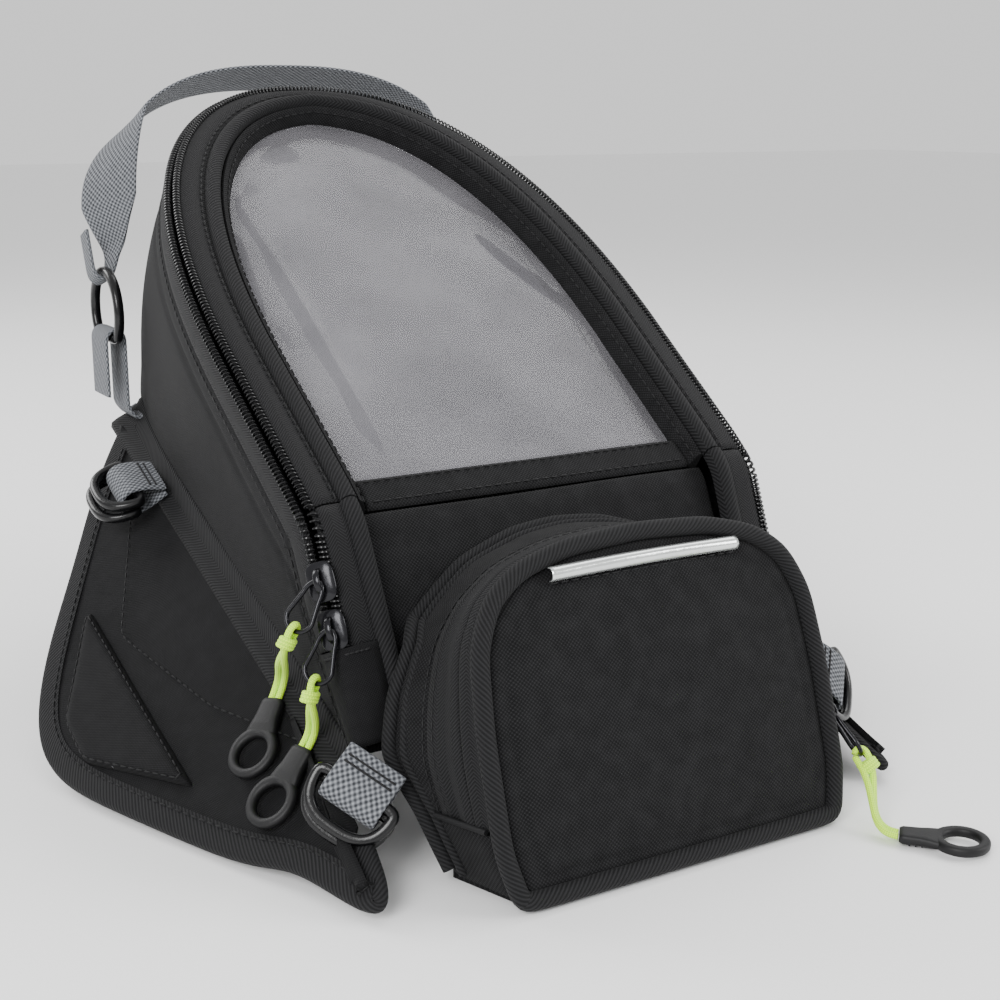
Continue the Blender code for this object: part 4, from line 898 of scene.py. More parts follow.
def lid_pieces():
    """The lid's coil, tape, piping, window hem, film, backing and lower band with their stitches."""
    run = lid_run
    middle = run.coil_corner(COIL_GAP + COIL_HALF, 0.0)
    coil_teeth("lid_coil", middle, run.to_lid, run.corner_out, COIL, "lid", stands_for="lid_zip_tape",
               slot="zip_tape")
    start = run.origin + 0.0016 * run.into_lid + 0.0004 * run.lid_out
    hump = run.origin + 0.0034 * run.into_lid + 0.0021 * run.lid_out
    rest = [run.inset(u, 0.0023 + 0.0004 * math.sin(math.pi * (u - 0.004) / 0.007))
            for u in np.linspace(0.0055, TAPE_END + 0.0006, 6)]
    loft("lid_tape", np.stack([start, 0.5 * (start + hump) + 0.0004 * run.lid_out, hump, *rest], axis=1),
         TAPE, "lid", slot="zip_tape", thick=TAPE_SKIN, out=run.lid_out[:, None])
    reaches, levels = piping_profile(PIPING_START, PIPING_MIDDLE, 0.5 * (PIPING_END - PIPING_START))
    loft("lid_piping_cord", lid_strip(run, reaches, levels), EDGE_TAPE, "lid", stands_for="lid_piping",
         slot="oxford_fabric", wrap=(False, True), caps=True)
    reaches = np.array([HEM_START, HEM_START, HEM_START + 0.0008, HEM_START + 0.0022, HEM_END - 0.0008,
                        HEM_END, HEM_END, HEM_END])
    levels = np.array([-0.0138, 0.0004, 0.0013, 0.0004, -0.0022, -0.0038, -0.0060, -0.0138])
    loft("window_hem", lid_strip(run, reaches, levels), OXFORD, "lid", stands_for="lid_hem",
         slot="oxford_fabric", wrap=(False, True), caps=True)
    stitches("hem_stitches", run.inset(HEM_START + 0.0030, -0.0007), run.lid_out, "lid", slot="oxford_fabric")
    stitches("piping_stitches", run.inset(PIPING_START - 0.0013, 0.0029), run.lid_out, "lid",
             slot="zip_tape")
    window()


WINDOW_ROWS = 140
WINDOW_COLUMNS = 110
WINDOW_CROWDING = 1.6
BAND_HALF_OUTER = 0.0833


def window_half_width(q):
    """Half the window's width at each height: the zip line's, less the border."""
    inner = lid_line + ((HEM_END + GAP) * lid_run.narrow)[:, None] * lid_run.inward
    left = inner[: len(inner) // 2 + 1]
    left = left[np.argsort(left[:, 1])]
    return -np.interp(q, left[:, 1], left[:, 0])


def window():
    """The clear film, crowned and creased, over its dark woven backing, with the band below."""
    inner = lid_line + ((HEM_END + GAP) * lid_run.narrow)[:, None] * lid_run.inward
    top = float(inner[:, 1].max()) - 0.0003
    low = STRIP_TOP_Q + GAP
    share = 1.0 - (1.0 - np.linspace(0.0, 1.0, WINDOW_ROWS)) ** WINDOW_CROWDING
    q = low + (top - low) * share
    half = window_half_width(q)
    across = np.sin(0.5 * math.pi * np.linspace(-1.0, 1.0, WINDOW_COLUMNS))
    x = half[:, None] * across[None]
    height = np.repeat(q[:, None], len(across), axis=1)
    swell = np.clip((1.0 - across[None] ** 2) * np.sin(math.pi * share)[:, None], 0.0, 1.0)
    creases = 0.9 * ripples(x, height, 0.020, 5) + 0.5 * ripples(x, height, 0.009, 8)
    long_crease = np.exp(-((x + 0.046 + 0.03 * (height - 0.02)) / 0.0022) ** 2) * np.exp(
        -((height + 0.005) / 0.055) ** 2)
    turned_x = (x - 0.052) * 0.93 + (height - 0.022) * 0.36
    turned_y = -(x - 0.052) * 0.36 + (height - 0.022) * 0.93
    leaf = np.exp(-(np.abs(turned_x / 0.0065) ** 2.0)) * np.exp(-((turned_y / 0.024) ** 4.0))
    rim = np.minimum(1.0, 9.0 * swell)
    level = FILM_LEVEL + 0.0022 * swell + rim * (0.0009 * creases + 0.0011 * long_crease - 0.0016 * leaf)
    loft("clear_window", cover(x, height, level), FILM, "lid", stands_for="window_film", slot="clear_film",
         thick=FILM_THICK, out=LID_OUT)
    x_back = x * (half[:, None] + 0.004) / half[:, None]
    deep = POCKET_BACK_LEVEL + POCKET_BACK_THICK - 0.0006 + 0.0005 * ripples(x_back, height, 0.012, 21)
    loft("window_backing", cover(x_back, height, deep), BACKING, "lid", stands_for="phone_pocket_back",
         slot="pocket_backing", thick=0.0010, out=LID_OUT)
    strip_half = BAND_HALF_OUTER - HEM_END - GAP
    across = np.linspace(-1.0, 1.0, 60)
    reach = np.linspace(LID_END_Q, STRIP_TOP_Q, 12)
    round_edge = 1.0 - np.abs(np.linspace(-1.0, 1.0, 12)) ** 6
    level = 0.0026 + 0.0013 * round_edge[:, None] + 0.0003 * ripples(60 * across[None], reach[:, None], 9.0,
                                                                     3)
    grid = cover(strip_half * across[None] + 0.0 * reach[:, None], reach[:, None] + 0.0 * across[None], level)
    loft("window_band", grid, OXFORD, "lid", stands_for="window_webbing_strip", slot="oxford_fabric",
         thick=0.0018, out=LID_OUT)
    for name, q_at in (("band_stitches_low", LID_END_Q + 0.0022),
                       ("band_stitches_high", STRIP_TOP_Q - 0.0022)):
        line = cover(np.linspace(-strip_half + 0.002, strip_half - 0.002, 40), q_at, 0.0041)
        stitches(name, line, LID_OUT, "lid", slot="oxford_fabric")


lid_pieces()


# ---- side wall and the wall's half of the zip ----------------------------------------------------
def wall_pieces():
    """The wall's coil and tape, and the padded wall that runs from it down to the base."""
    run = body_run
    middle = run.coil_corner(-(COIL_GAP + COIL_HALF), 0.0)
    coil_teeth("wall_coil", middle, run.to_lid, run.corner_out, COIL, "shell", stands_for="body_zip_tape",
               slot="zip_tape")
    end = np.minimum(WALL_TAPE_END, 0.45 * run.depth)
    start = run.wall(0.0016, 0.0004)
    hump = run.wall(0.0034, 0.0022)
    rest = [run.wall(0.0034 + (end + 0.0004 - 0.0034) * s, 0.0024 + 0.0004 * math.sin(math.pi * s))
            for s in np.linspace(0.2, 1.0, 6)]
    loft("wall_tape", np.stack([start, 0.5 * (start + hump) + 0.0004 * run.wall_out, hump, *rest], axis=1),
         TAPE, "shell", slot="zip_tape", thick=TAPE_SKIN, out=run.wall_out[:, None])
    run = whole_run
    top = np.minimum(WALL_TAPE_END, 0.45 * run.depth) + GAP
    rim = run.wall(top, TAPE_LEVEL + TAPE_THICK)
    share = np.concatenate([[0.0, 0.008, 0.02], np.linspace(0.04, 1.0, 40)])
    grid = rim[:, None] + (run.foot - rim)[:, None] * share[None, :, None]
    along = np.concatenate([[0.0], np.cumsum(np.linalg.norm(np.diff(rim, axis=0), axis=1))])
    depth = np.linalg.norm(run.foot - rim, axis=1)
    soft = np.sin(math.pi * np.clip(share, 0.0, 1.0))[None] ** 0.8
    bulge = 0.022 * depth[:, None] * soft
    folds = 0.0016 * soft * ripples(along[:, None], share[None] * depth[:, None], 0.017, 12)
    edge_roll = -0.0012 * np.exp(-share / 0.012)[None]
    seam = -0.0009 * np.exp(-((share[None] * depth[:, None] - 0.010) / 0.0016) ** 2)
    grid = grid + (bulge + folds + edge_roll + seam)[..., None] * run.wall_out[:, None]
    wall = loft("padded_wall", grid, FINE_CLOTH, "shell", stands_for="side_gusset", slot="wall_fabric",
                thick=WALL_THICK, out=run.wall_out[:, None])
    stitches("wall_top_stitches", rim + 0.0024 * run.down_wall + 0.0001 * run.wall_out, run.wall_out, "shell",
             slot="wall_fabric")


wall_pieces()


# ---- front panel and its two edges ---------------------------------------------------------------
def front_pieces():
    """The front cloth down to the floor, and at each side its piping, tape, coil and end patch."""
    edge_inset = PIPING_END + GAP
    q = np.concatenate([np.linspace(FRONT_START_Q, FRONT_END_Q, 60), np.linspace(-0.1680, FLOOR_Q, 12)])
    widths = np.interp(q, [FLOOR_Q, FRONT_END_Q, FRONT_START_Q],
                       [0.0600, zip_half_width(FRONT_END_Q) - edge_inset,
                        zip_half_width(FRONT_START_Q) - edge_inset])
    across = np.linspace(-1.0, 1.0, 70)
    x = widths[:, None] * across[None]
    level = 0.0022 + 0.0014 * (1.0 - across[None] ** 2) * np.exp(-((q[:, None] + 0.118) / 0.02) ** 2)
    level = level + 0.0006 * ripples(x, q[:, None], 0.014, 31) * (1.0 - across[None] ** 4)
    loft("front_cloth", cover(x, np.repeat(q[:, None], 70, axis=1), level), OXFORD, "shell",
         stands_for="front_panel", slot="oxford_fabric", thick=FRONT_THICK, out=FRONT_OUT)
    for side_name, sign in (("left", 1.0), ("right", -1.0)):
        flip = np.array([sign, 1.0])
        tops = resample(zip_side(ZIP_END_Q, FRONT_START_Q, -1.0), step=0.002) * flip
        lows = resample(zip_side(CORNER_END_Q, ZIP_END_Q + 0.001, -1.0), step=0.002) * flip
        full = resample(zip_side(CORNER_END_Q, FRONT_START_Q, -1.0), step=0.002) * flip
        if sign < 0:
            tops, lows, full = tops[::-1], lows[::-1], full[::-1]
        run = ZipRun(full)
        reaches, levels = piping_profile(PIPING_START - FRONT_PIPING_EXTRA,
                                         PIPING_MIDDLE - FRONT_PIPING_SHIFT,
                                         FRONT_PIPING_HALF)
        loft(f"front_piping_{side_name}", lid_strip(run, reaches, levels), EDGE_TAPE, "shell",
             stands_for=f"front_edge_{side_name}", slot="zip_tape", wrap=(False, True), caps=True)
        run = ZipRun(tops)
        coil_teeth(f"front_coil_{side_name}", run.coil_corner(COIL_GAP + COIL_HALF, 0.0), run.to_lid,
                   run.corner_out, COIL, "shell", slot="zip_tape")
        start = run.origin + 0.0016 * run.into_lid + 0.0004 * run.lid_out
        hump = run.origin + 0.0034 * run.into_lid + 0.0021 * run.lid_out
        rest = [run.inset(u, 0.0024) for u in np.linspace(0.0055, TAPE_END + 0.0006, 6)]
        loft(f"front_tape_{side_name}", np.stack([start, hump, *rest], axis=1), TAPE, "shell",
             slot="zip_tape",
             thick=TAPE_SKIN, out=run.lid_out[:, None])
        run = ZipRun(lows)
        end = np.minimum(WALL_TAPE_END, 0.45 * run.depth)
        patch = [run.wall(end, TAPE_LEVEL + 0.0014), run.wall(0.66 * end, 0.0033),
                 run.wall(0.33 * end, 0.0032),
                 run.coil_corner(-0.0012, 0.0026), run.coil_corner(0.0012, 0.0026), run.inset(0.0045, 0.0032),
                 run.inset(0.0080, 0.0034), run.inset(TAPE_END, 0.0030)]
        loft(f"corner_patch_{side_name}", np.stack(patch, axis=1), FINE_CLOTH, "shell", slot="wall_fabric",
             thick=0.0014, out=run.corner_out[:, None])
        bar = np.stack([p[-2] if sign > 0 else p[1] for p in patch[1:-1]])
        stitches(f"zip_end_bar_{side_name}", smooth_curve(bar, passes=2), run.corner_out[len(run.line) // 2],
                 "shell", radius=0.0005, pitch=0.0016, length=0.0018, slot="wall_fabric")


front_pieces()


# ---- front pocket --------------------------------------------------------------------------------
STATIONS = 181
REAR_STEP_X = (0.0560, 0.0620)
ROLL_WIDTH = 0.0012


def pocket_edges(count):
    """The pocket's front outline, its front and rear edges, the way back and the way out at each station."""
    front_line = resample(smooth_curve(full_outline(POCKET_FRONT_OUTLINE)), count=count)
    rear_line = resample(smooth_curve(full_outline(POCKET_BACK_OUTLINE)), count=count)
    front_edge = face_place(front_line[:, 0], front_line[:, 1], 0.0)
    step = np.interp(np.abs(rear_line[:, 0]), REAR_STEP_X, (0.0, 1.0))
    rear_level = step * (zip_level(FOLD_Q - rear_line[:, 1]) + 0.0022) + 0.0028
    back_edge = cover(rear_line[:, 0], FOLD_Q - rear_line[:, 1], rear_level)
    way_back = unit(back_edge - front_edge)
    way_out = unit(np.cross(tangents(front_edge), way_back))
    way_out *= np.sign(np.sum(way_out * (front_edge - front_edge.mean(axis=0)), axis=1, keepdims=True))
    return front_line, front_edge, back_edge, way_back, way_out


face_line, face_edge, rear_edge, rear_way, pocket_out = pocket_edges(STATIONS)
pocket_depth = np.linalg.norm(rear_edge - face_edge, axis=1)
above = np.flatnonzero(face_edge[:, 2] > POCKET_HINGE_Z + 0.001)
UPPER = slice(above[0], above[-1] + 1)
TAPE_START = POCKET_PIPING_R + 2.0 * GAP
POCKET_BLEND = (face_place(0.0, 0.0130, 0.0) + SHIFT, face_place(0.0, 0.0290, 0.0) + SHIFT)


def pocket_band(start, end, out_levels, columns):
    """Grid round the pocket's side: from start to end behind its front edge, raised by out_levels."""
    share = np.linspace(0.0, 1.0, columns)
    first = np.broadcast_to(start, pocket_depth.shape)[:, None]
    last = np.broadcast_to(end, pocket_depth.shape)[:, None]
    reach = first + (last - first) * share[None]
    back = reach[..., None] * rear_way[:, None]
    outward = out_levels[..., None] * pocket_out[:, None]
    return face_edge[:, None] + back + outward


def pocket_pieces():
    """The pocket's side, zip, pipings, crowned face and reflective strip."""
    is_up = np.zeros(STATIONS, bool)
    is_up[UPPER] = True
    columns = 34
    share = np.linspace(0.0, 1.0, columns)[None]
    start = np.where(is_up, POCKET_TAPE_END + GAP, TAPE_START)
    reach = pocket_depth - 0.0006 - start
    along = np.linspace(0.0, 0.30, STATIONS)[:, None]
    from_front = share * reach[:, None]
    from_rear = (1.0 - share) * reach[:, None]
    roll = -0.0010 * (np.exp(-from_front / ROLL_WIDTH) + np.exp(-from_rear / ROLL_WIDTH))
    soft = np.sin(math.pi * share) * (0.0010 + 0.0012 * ripples(along, share * 0.04, 0.011, 44))
    grid = pocket_band(start, pocket_depth - 0.0006, roll + soft, columns)
    grid[..., 2] = np.maximum(grid[..., 2], 0.0006)
    loft("pocket_side", grid, OXFORD, "shell", stands_for="pocket_gusset", slot="oxford_fabric",
         thick=POCKET_SKIN, out=pocket_out[:, None])
    up = np.arange(STATIONS)[UPPER]
    lip = np.array([0.0012, 0.0016, 0.0010, 0.0004, 0.0003, 0.0006, 0.0009])[None]
    rear_tape = pocket_band(POCKET_ZIP + 0.0001, POCKET_TAPE_END + 0.0012, lip + 0.0 * along, 7)[up]
    loft("pocket_tape_rear", rear_tape, TAPE, "shell", stands_for="pocket_zip_tape_rear", slot="zip_tape",
         thick=TAPE_THICK, out=pocket_out[up][:, None])
    front_tape = pocket_band(POCKET_ZIP - 0.0001, TAPE_START - 0.0006, lip[:, :6] + 0.0 * along, 6)[up]
    loft("pocket_tape_front", front_tape, TAPE, "pocket_front", stands_for="pocket_zip_tape_front",
         slot="zip_tape", thick=TAPE_THICK, out=pocket_out[up][:, None])
    for name, spot, body in (("rear", POCKET_ZIP + 0.0013, "shell"),
                             ("front", POCKET_ZIP - 0.0013, "pocket_front")):
        line = (face_edge + spot * rear_way - 0.0011 * pocket_out)[up]
        coil_teeth(f"pocket_coil_{name}", line, rear_way[up], pocket_out[up], COIL, body, half_wide=0.0011,
                   half_high=0.0008, slot="zip_tape")
    for name, spot in (("tape_stitches", POCKET_TAPE_END + 0.0030),
                       ("tape_stitches_inner", POCKET_TAPE_END - 0.0005)):
        line = (face_edge + spot * rear_way + 0.0006 * pocket_out)[up]
        stitches(f"pocket_{name}", line, pocket_out[up], "shell", slot="oxford_fabric")
    for end_name, at in (("left", up[0]), ("right", up[-1])):
        spots = np.linspace(TAPE_START + 0.001, POCKET_TAPE_END + 0.004, 14)[:, None]
        line = face_edge[at] + spots * rear_way[at] + 0.0014 * pocket_out[at]
        round_bar(f"pocket_zip_end_{end_name}", line, 0.0009, THREAD, "shell", facing=pocket_out[at],
                  slot="zip_tape")
    for name, spot, lift, radius in (("outer", 0.0022, 0.0010, 0.0022), ("inner", 0.0075, 0.0006, 0.0013)):
        line = rear_edge - spot * rear_way + lift * pocket_out
        keep = line[:, 2] > 0.0035
        round_bar(f"pocket_rear_piping_{name}", line[keep], radius, EDGE_TAPE, "shell", facing=FRONT_OUT,
                  slot="oxford_fabric")
    pocket_face()


def pocket_face():
    """The crowned face inside its piping: it swells by a power of the distance from its edge."""
    inner = face_line + (POCKET_PIPING_R - 0.0004) * np.stack(
        [tangents(face_line)[:, 1], -tangents(face_line)[:, 0]], axis=1)
    bottom = resample([inner[-1], inner[0]], count=50)[1:-1]
    outline = np.concatenate([inner, bottom])
    outline[:, 1] = np.maximum(outline[:, 1], 0.0046)
    share = np.concatenate([[0.004], np.linspace(0.0, 1.0, 46)[1:]]) ** 0.8
    centre = np.array([0.0, 0.050])
    flat = centre + (outline[None] - centre) * share[:, None, None]
    swell = (1.0 - share ** 4)[:, None]
    unevenness = ripples(flat[..., 0], flat[..., 1], 0.013, 51)
    edge_dip = 0.0009 * np.exp(-(1.0 - share)[:, None] / 0.03)
    level = -0.0002 + 0.0026 * swell + 0.0010 * swell * unevenness - edge_dip
    hem = -0.0006 * np.exp(-(((1.0 - share)[:, None] - 0.10) / 0.02) ** 2)
    grid = face_place(flat[..., 0], flat[..., 1], level + hem)
    face = plane_mapped("pocket_face", grid, flat, OXFORD, FACE_OUT)
    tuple(POCKET_BLEND[0])
    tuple(POCKET_BLEND[1])
    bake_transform(face)
    mounted(face, None, ("pocket_front_panel", "pocket_front_lower"), "oxford_fabric", ride=False)
    ridge = face_edge - 0.0004 * FACE_OUT
    foot_y = ridge[0][1] - 0.0004
    foot = smooth_curve([ridge[-1], (0.0500, foot_y, 0.0031), (-0.0500, foot_y, 0.0031), ridge[0]], passes=3)
    loop = resample(np.concatenate([ridge, foot[1:-1], ridge[:1]]), count=300)[:-1]
    loop = eased_loop(loop, 6)
    loop[:, 2] = np.maximum(loop[:, 2], POCKET_PIPING_R + 0.0002)
    across, out = line_frame(loop, FACE_OUT, closed=True)
    piping = loft("pocket_rim", bead_sections(loop, across, out, POCKET_PIPING_R, POCKET_PIPING_R, 14),
                  EDGE_TAPE,
                  "shell", wrap=(True, True), ride=False)
    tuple(POCKET_BLEND[0])
    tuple(POCKET_BLEND[1])
    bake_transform(piping)
    mounted(piping, None, ("pocket_front_piping", "pocket_front_piping_lower"), "oxford_fabric", ride=False)
    half = 0.0335
    line = face_place(np.linspace(-half, half, 60), 0.0920 + 0.0006 * np.cos(np.linspace(-FOLD_CURVE,
                                                                                         FOLD_CURVE, 60)),
                                                                                         0.0020)
    turn = np.linspace(-0.15, math.pi + 0.15, 13)
    grid = line[:, None] + 0.0022 * (np.cos(turn)[None, :, None] * FACE_UP + np.sin(turn)[None, :,
                                                                                          None] * FACE_OUT)
    grid = grid + 0.0002 * ripples(np.linspace(0, 5, 60)[:, None], turn[None], 0.6, 61)[..., None] * FACE_OUT
    loft("reflective_tube", grid, SILVER, "pocket_front", stands_for="reflective_strip",
         slot="reflective_strip",
         thick=0.0004, out=grid - line[:, None])
    line = face_place(np.linspace(-half, half, 60), 0.0895, FACE_STITCH_LEVEL)
    stitches("reflective_stitches", line, FACE_OUT, "pocket_front", slot="oxford_fabric")


def plane_mapped(name, grid, flat, look, out):
    """A round patch of rings whose map is its own flat shape, closed at its middle."""
    rings, count = grid.shape[:2]
    points = np.concatenate([grid.reshape(-1, 3), grid[:1].mean(axis=1)]) + SHIFT
    maps = np.concatenate([flat.reshape(-1, 2), flat[:1].mean(axis=1)])
    index = np.arange(rings * count).reshape(rings, count)
    after = np.roll(index, -1, axis=1)
    quads = np.stack([index[:-1], after[:-1], after[1:], index[1:]], axis=2).reshape(-1, 4)
    hub = rings * count
    fan = np.stack([np.full(count, hub), after[0], index[0]], axis=1)
    a, b, c = (points[fan[0][i]] for i in range(3))
    if float(np.cross(b - a, c - a) @ out) < 0:
        quads, fan = quads[:, ::-1], fan[:, ::-1]
    mesh = bpy.data.meshes.new(name)
    mesh.from_pydata(points.tolist(), [], quads.tolist() + fan.tolist())
    layer = mesh.uv_layers.new(name="UVMap")
    corner = np.concatenate([quads.ravel(), fan.ravel()])
    layer.data.foreach_set("uv", np.ascontiguousarray(maps[corner], np.float32).ravel())
    mesh.materials.append(look)
    mesh.shade_smooth()
    piece = bpy.data.objects.new(name, mesh)
    bpy.context.scene.collection.objects.link(piece)
    wall = piece.modifiers.new("wall", "SOLIDIFY")
    wall.thickness, wall.offset = 0.0020, -1.0
    return piece


pocket_pieces()


# ---- side flaps ----------------------------------------------------------------------------------
FLAP_TIP = (0.2680, 0.0139)
EDGE_ROUNDING = 16
FLAP_SEAM_END_S = 0.206


def flap_pieces(side_name, sign):
    """A flap: slack cloth between its seam and its bound free edge, with a stitched magnet cover."""
    rear, along, down, out = flap_frame(sign)
    body = f"flap_{side_name}"

    def on_flap(s, w, level):
        s, w, level = np.broadcast_arrays(*(np.asarray(v, float) for v in (s, w, level)))
        return rear + s[..., None] * along + w[..., None] * down + level[..., None] * out

    edge = flap_edge()
    s_end, w_end = FLAP_TIP
    edge = np.concatenate([edge[: int(np.argmax(edge[:, 0])) - 1],
                           [[s_end, w_end], [s_end - 0.004, w_end - 0.006], [FLAP_FRONT_S + 0.012, 0.0010]]])
    edge = resample(smooth_curve(edge, passes=2), count=150)
    for _ in range(EDGE_ROUNDING):
        edge[1:-1] = 0.25 * edge[:-2] + 0.5 * edge[1:-1] + 0.25 * edge[2:]
    turned = tangents(edge)
    turned = np.stack([turned[:, 1], -turned[:, 0]], axis=1)
    inner = edge + (FLAP_BINDING - 0.0016) * turned
    inner[:, 1] = np.maximum(inner[:, 1], 0.0024)
    seam_s = np.linspace(inner[0, 0], FLAP_SEAM_END_S - 0.002, len(inner))
    share = np.linspace(0.0, 1.0, 40)
    s = seam_s[:, None] + (inner[:, 0] - seam_s)[:, None] * share[None]
    w = 0.0024 + (inner[:, 1] - 0.0024)[:, None] * share[None]
    slack = 0.0011 * ripples(s, w, 0.019, 71) * np.sin(math.pi * share)[None] ** 0.7
    cloth = loft(f"flap_cloth_{side_name}", on_flap(s, w, 0.0014 + slack), FINE_CLOTH, body,
                 stands_for=f"flap_{side_name}", slot="wall_fabric", thick=0.0028, out=out)
    wave = 0.0005 * np.sin(np.linspace(0.0, 26.0, len(edge)))
    turn = np.linspace(0.5 * math.pi, 1.5 * math.pi, 7)
    top = [on_flap(*(edge + reach * turned).T, 0.0021 + wave * fade)
           for reach, fade in ((FLAP_BINDING, 0.3), (0.6 * FLAP_BINDING, 0.6), (0.0022, 1.0))]
    nose = [on_flap(*(edge + (0.0020 + 0.0020 * math.cos(t)) * turned).T, 0.0021 * math.sin(t) + wave)
            for t in turn]
    under = [on_flap(*(edge + reach * turned).T, -0.0021 + wave * fade)
             for reach, fade in ((0.0022, 1.0), (0.6 * FLAP_BINDING, 0.6), (FLAP_BINDING, 0.3))]
    grid = np.stack([*top, *nose[1:-1], *under], axis=1)
    grid[..., 2] = np.maximum(grid[..., 2], 0.0)
    grid = grid[: len(edge) - 8]
    loft(f"flap_edge_{side_name}", grid, EDGE_TAPE, body, stands_for=f"flap_binding_{side_name}",
         slot="zip_tape",
         wrap=(False, True), caps=True)
    line = on_flap(*(edge + (FLAP_BINDING - 0.0015) * turned).T, 0.0023)[6:-12]
    stitches(f"flap_edge_stitches_{side_name}", line, out, body, slot="zip_tape")
    corners = np.array(MAGNET_OUTLINE)
    outline = resample(np.concatenate([corners, corners[:1]]), count=161)[:-1]
    outline = eased_loop(outline, 5)
    share = np.linspace(0.004, 1.0, 24)
    centre = corners.mean(axis=0)
    flat = centre + (outline[None] - centre) * share[:, None, None]
    level = 0.0018 + 0.0034 * (1.0 - share ** 16)[:, None] + 0.0003 * ripples(flat[..., 0], flat[..., 1],
                                                                              0.01, 81)
    piece = plane_mapped(f"flap_cover_{side_name}", on_flap(flat[..., 0], flat[..., 1], level), flat,
                         FINE_CLOTH, out)
    piece.modifiers["wall"].thickness = TAPE_SKIN
    mounted(piece, body, f"magnet_cover_{side_name}", "wall_fabric")
    ring = centre + (outline - centre) * 0.94
    stitches(f"flap_cover_stitches_{side_name}", on_flap(ring[:, 0], ring[:, 1], 0.0042), out, body,
             slot="wall_fabric")
    long_line = [(0.030, 0.0045), (0.105, 0.0400), (0.160, 0.0250), (0.200, 0.0050)]
    line = smooth_curve(long_line, passes=2)
    stitches(f"flap_seam_stitches_{side_name}", on_flap(line[:, 0], line[:, 1], 0.0026), out, body,
             slot="wall_fabric")
    seam_strip(side_name, sign, on_flap)


def seam_strip(side_name, sign, on_flap):
    """The seam's cloth: a roll from the foot of the wall out to the top of the flap, for each s."""
    half = len(whole_run.foot) // 2
    feet = whole_run.foot[:half] * np.array([sign, 1.0, 1.0])
    outward = whole_run.wall_out[:half] * np.array([sign, 1.0, 1.0])
    up_wall = -whole_run.down_wall[:half] * np.array([sign, 1.0, 1.0])
    order = np.argsort(-feet[:, 1])
    s = np.linspace(0.000, 0.2235, 90)
    seam = on_flap(s, 0.0 * s, 0.0)
    foot = np.stack([np.interp(-seam[:, 1], -feet[order, 1], feet[order, i]) for i in range(3)], axis=1)
    facing = np.stack([np.interp(-seam[:, 1], -feet[order, 1], outward[order, i]) for i in range(3)], axis=1)
    rise = np.stack([np.interp(-seam[:, 1], -feet[order, 1], up_wall[order, i]) for i in range(3)], axis=1)
    columns = [foot + 0.0050 * rise + 0.0005 * facing, foot + 0.0040 * rise + 0.0016 * facing,
               foot + 0.0015 * rise + 0.0022 * facing,
               0.5 * (foot + on_flap(s, 0.0 * s, 0.0020)) + 0.0014 * facing,
               on_flap(s, 0.0012 + 0.0 * s, 0.0030), on_flap(s, 0.0042 + 0.0 * s, 0.0030),
               on_flap(s, 0.0056 + 0.0 * s, 0.0015)]
    strip = loft(f"flap_seam_{side_name}", np.stack(columns, axis=1), EDGE_TAPE, "shell", thick=0.0010,
                 out=facing[:, None],
                 slot="zip_tape", ride=False)
    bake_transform(strip)


for side_name, sign in (("left", 1.0), ("right", -1.0)):
    flap_pieces(side_name, sign)


# ---- webbing straps with their pairs of rings ------------------------------------------------------
def strap_pieces(spot, root, axis, reach, side_name, sign):
    """A webbing loop sewn to the bag, bar-tacked at its root, and the two rings that hang in it."""
    turned = np.array([sign, 1.0, 1.0])
    root = np.array(root) * turned
    along = unit(axis) * turned
    reach = np.array(reach) * turned
    reach = unit(reach - (reach @ along) * along)
    lift = np.cross(along, reach)
    lift = lift if lift[2] > 0 else -lift
    turn = np.linspace(-0.5 * math.pi, 0.5 * math.pi, 17)
    bend = np.stack([STRAP_BEND_AT + STRAP_BEND_R * np.cos(turn), STRAP_BEND_R * np.sin(turn)], axis=1)
    flat = np.concatenate([[[-0.0006, -0.0012], [0.0060, -0.0040]], bend,
                           [[0.0060, 0.0040], [-0.0006, 0.0012]]])
    flat = smooth_curve(flat, passes=2, step=0.0012)
    path = root + flat[:, :1] * reach + flat[:, 1:] * lift
    webbing_band(f"strap_loop_{spot}_{side_name}", path, along, STRAP_WIDTH, WEBBING_THICK + 0.0002, WEBBING,
                 "shell", stands_for=f"strap_{spot}_{side_name}", slot="webbing")
    for number, at in enumerate((0.0022, 0.0042)):
        across = np.linspace(-0.0080, 0.0080, 12)[:, None]
        height = np.interp(at, [0.0, 0.006], [0.0011, 0.0040]) + 0.0009
        line = root + at * reach + height * lift + across * along
        stitches(f"strap_tack_{spot}_{side_name}_{number}", line, lift, "shell", pitch=0.0020, length=0.0022,
                 radius=0.0004, slot="webbing")
    for level, bar_out, bar_up in RING_BARS:
        bar = root + bar_out * reach + bar_up * lift
        bow = resample(arch(RING_HALF_BAR, 0.0, RING_BEND_R, RING_POWER), count=61)
        straight = np.stack([np.linspace(RING_HALF_BAR, -RING_HALF_BAR, 21)[1:-1], np.zeros(19)], axis=1)
        outline = np.concatenate([bow, straight])
        outline = eased_loop(outline, 6)
        line = bar + outline[:, :1] * along + outline[:, 1:] * reach
        side, out = line_frame(line, lift, closed=True)
        grid = bead_sections(line, side, out, RING_R, RING_R, 18, power=2.6)
        loft(f"tilt_ring_{spot}_{side_name}_{level}", grid, GLOSS, f"rings_{spot}_{side_name}",
             stands_for=f"ring_{spot}_{side_name}_{level}", slot="gloss_plastic", wrap=(True, True))


STRAPS = (("rear", REAR_STRAP_ROOT, REAR_STRAP_AXIS, REAR_STRAP_REACH),
          ("front", FRONT_STRAP_ROOT, FRONT_STRAP_AXIS, FRONT_STRAP_REACH))
for side_name, sign in (("left", 1.0), ("right", -1.0)):
    for strap in STRAPS:
        strap_pieces(*strap, side_name, sign)


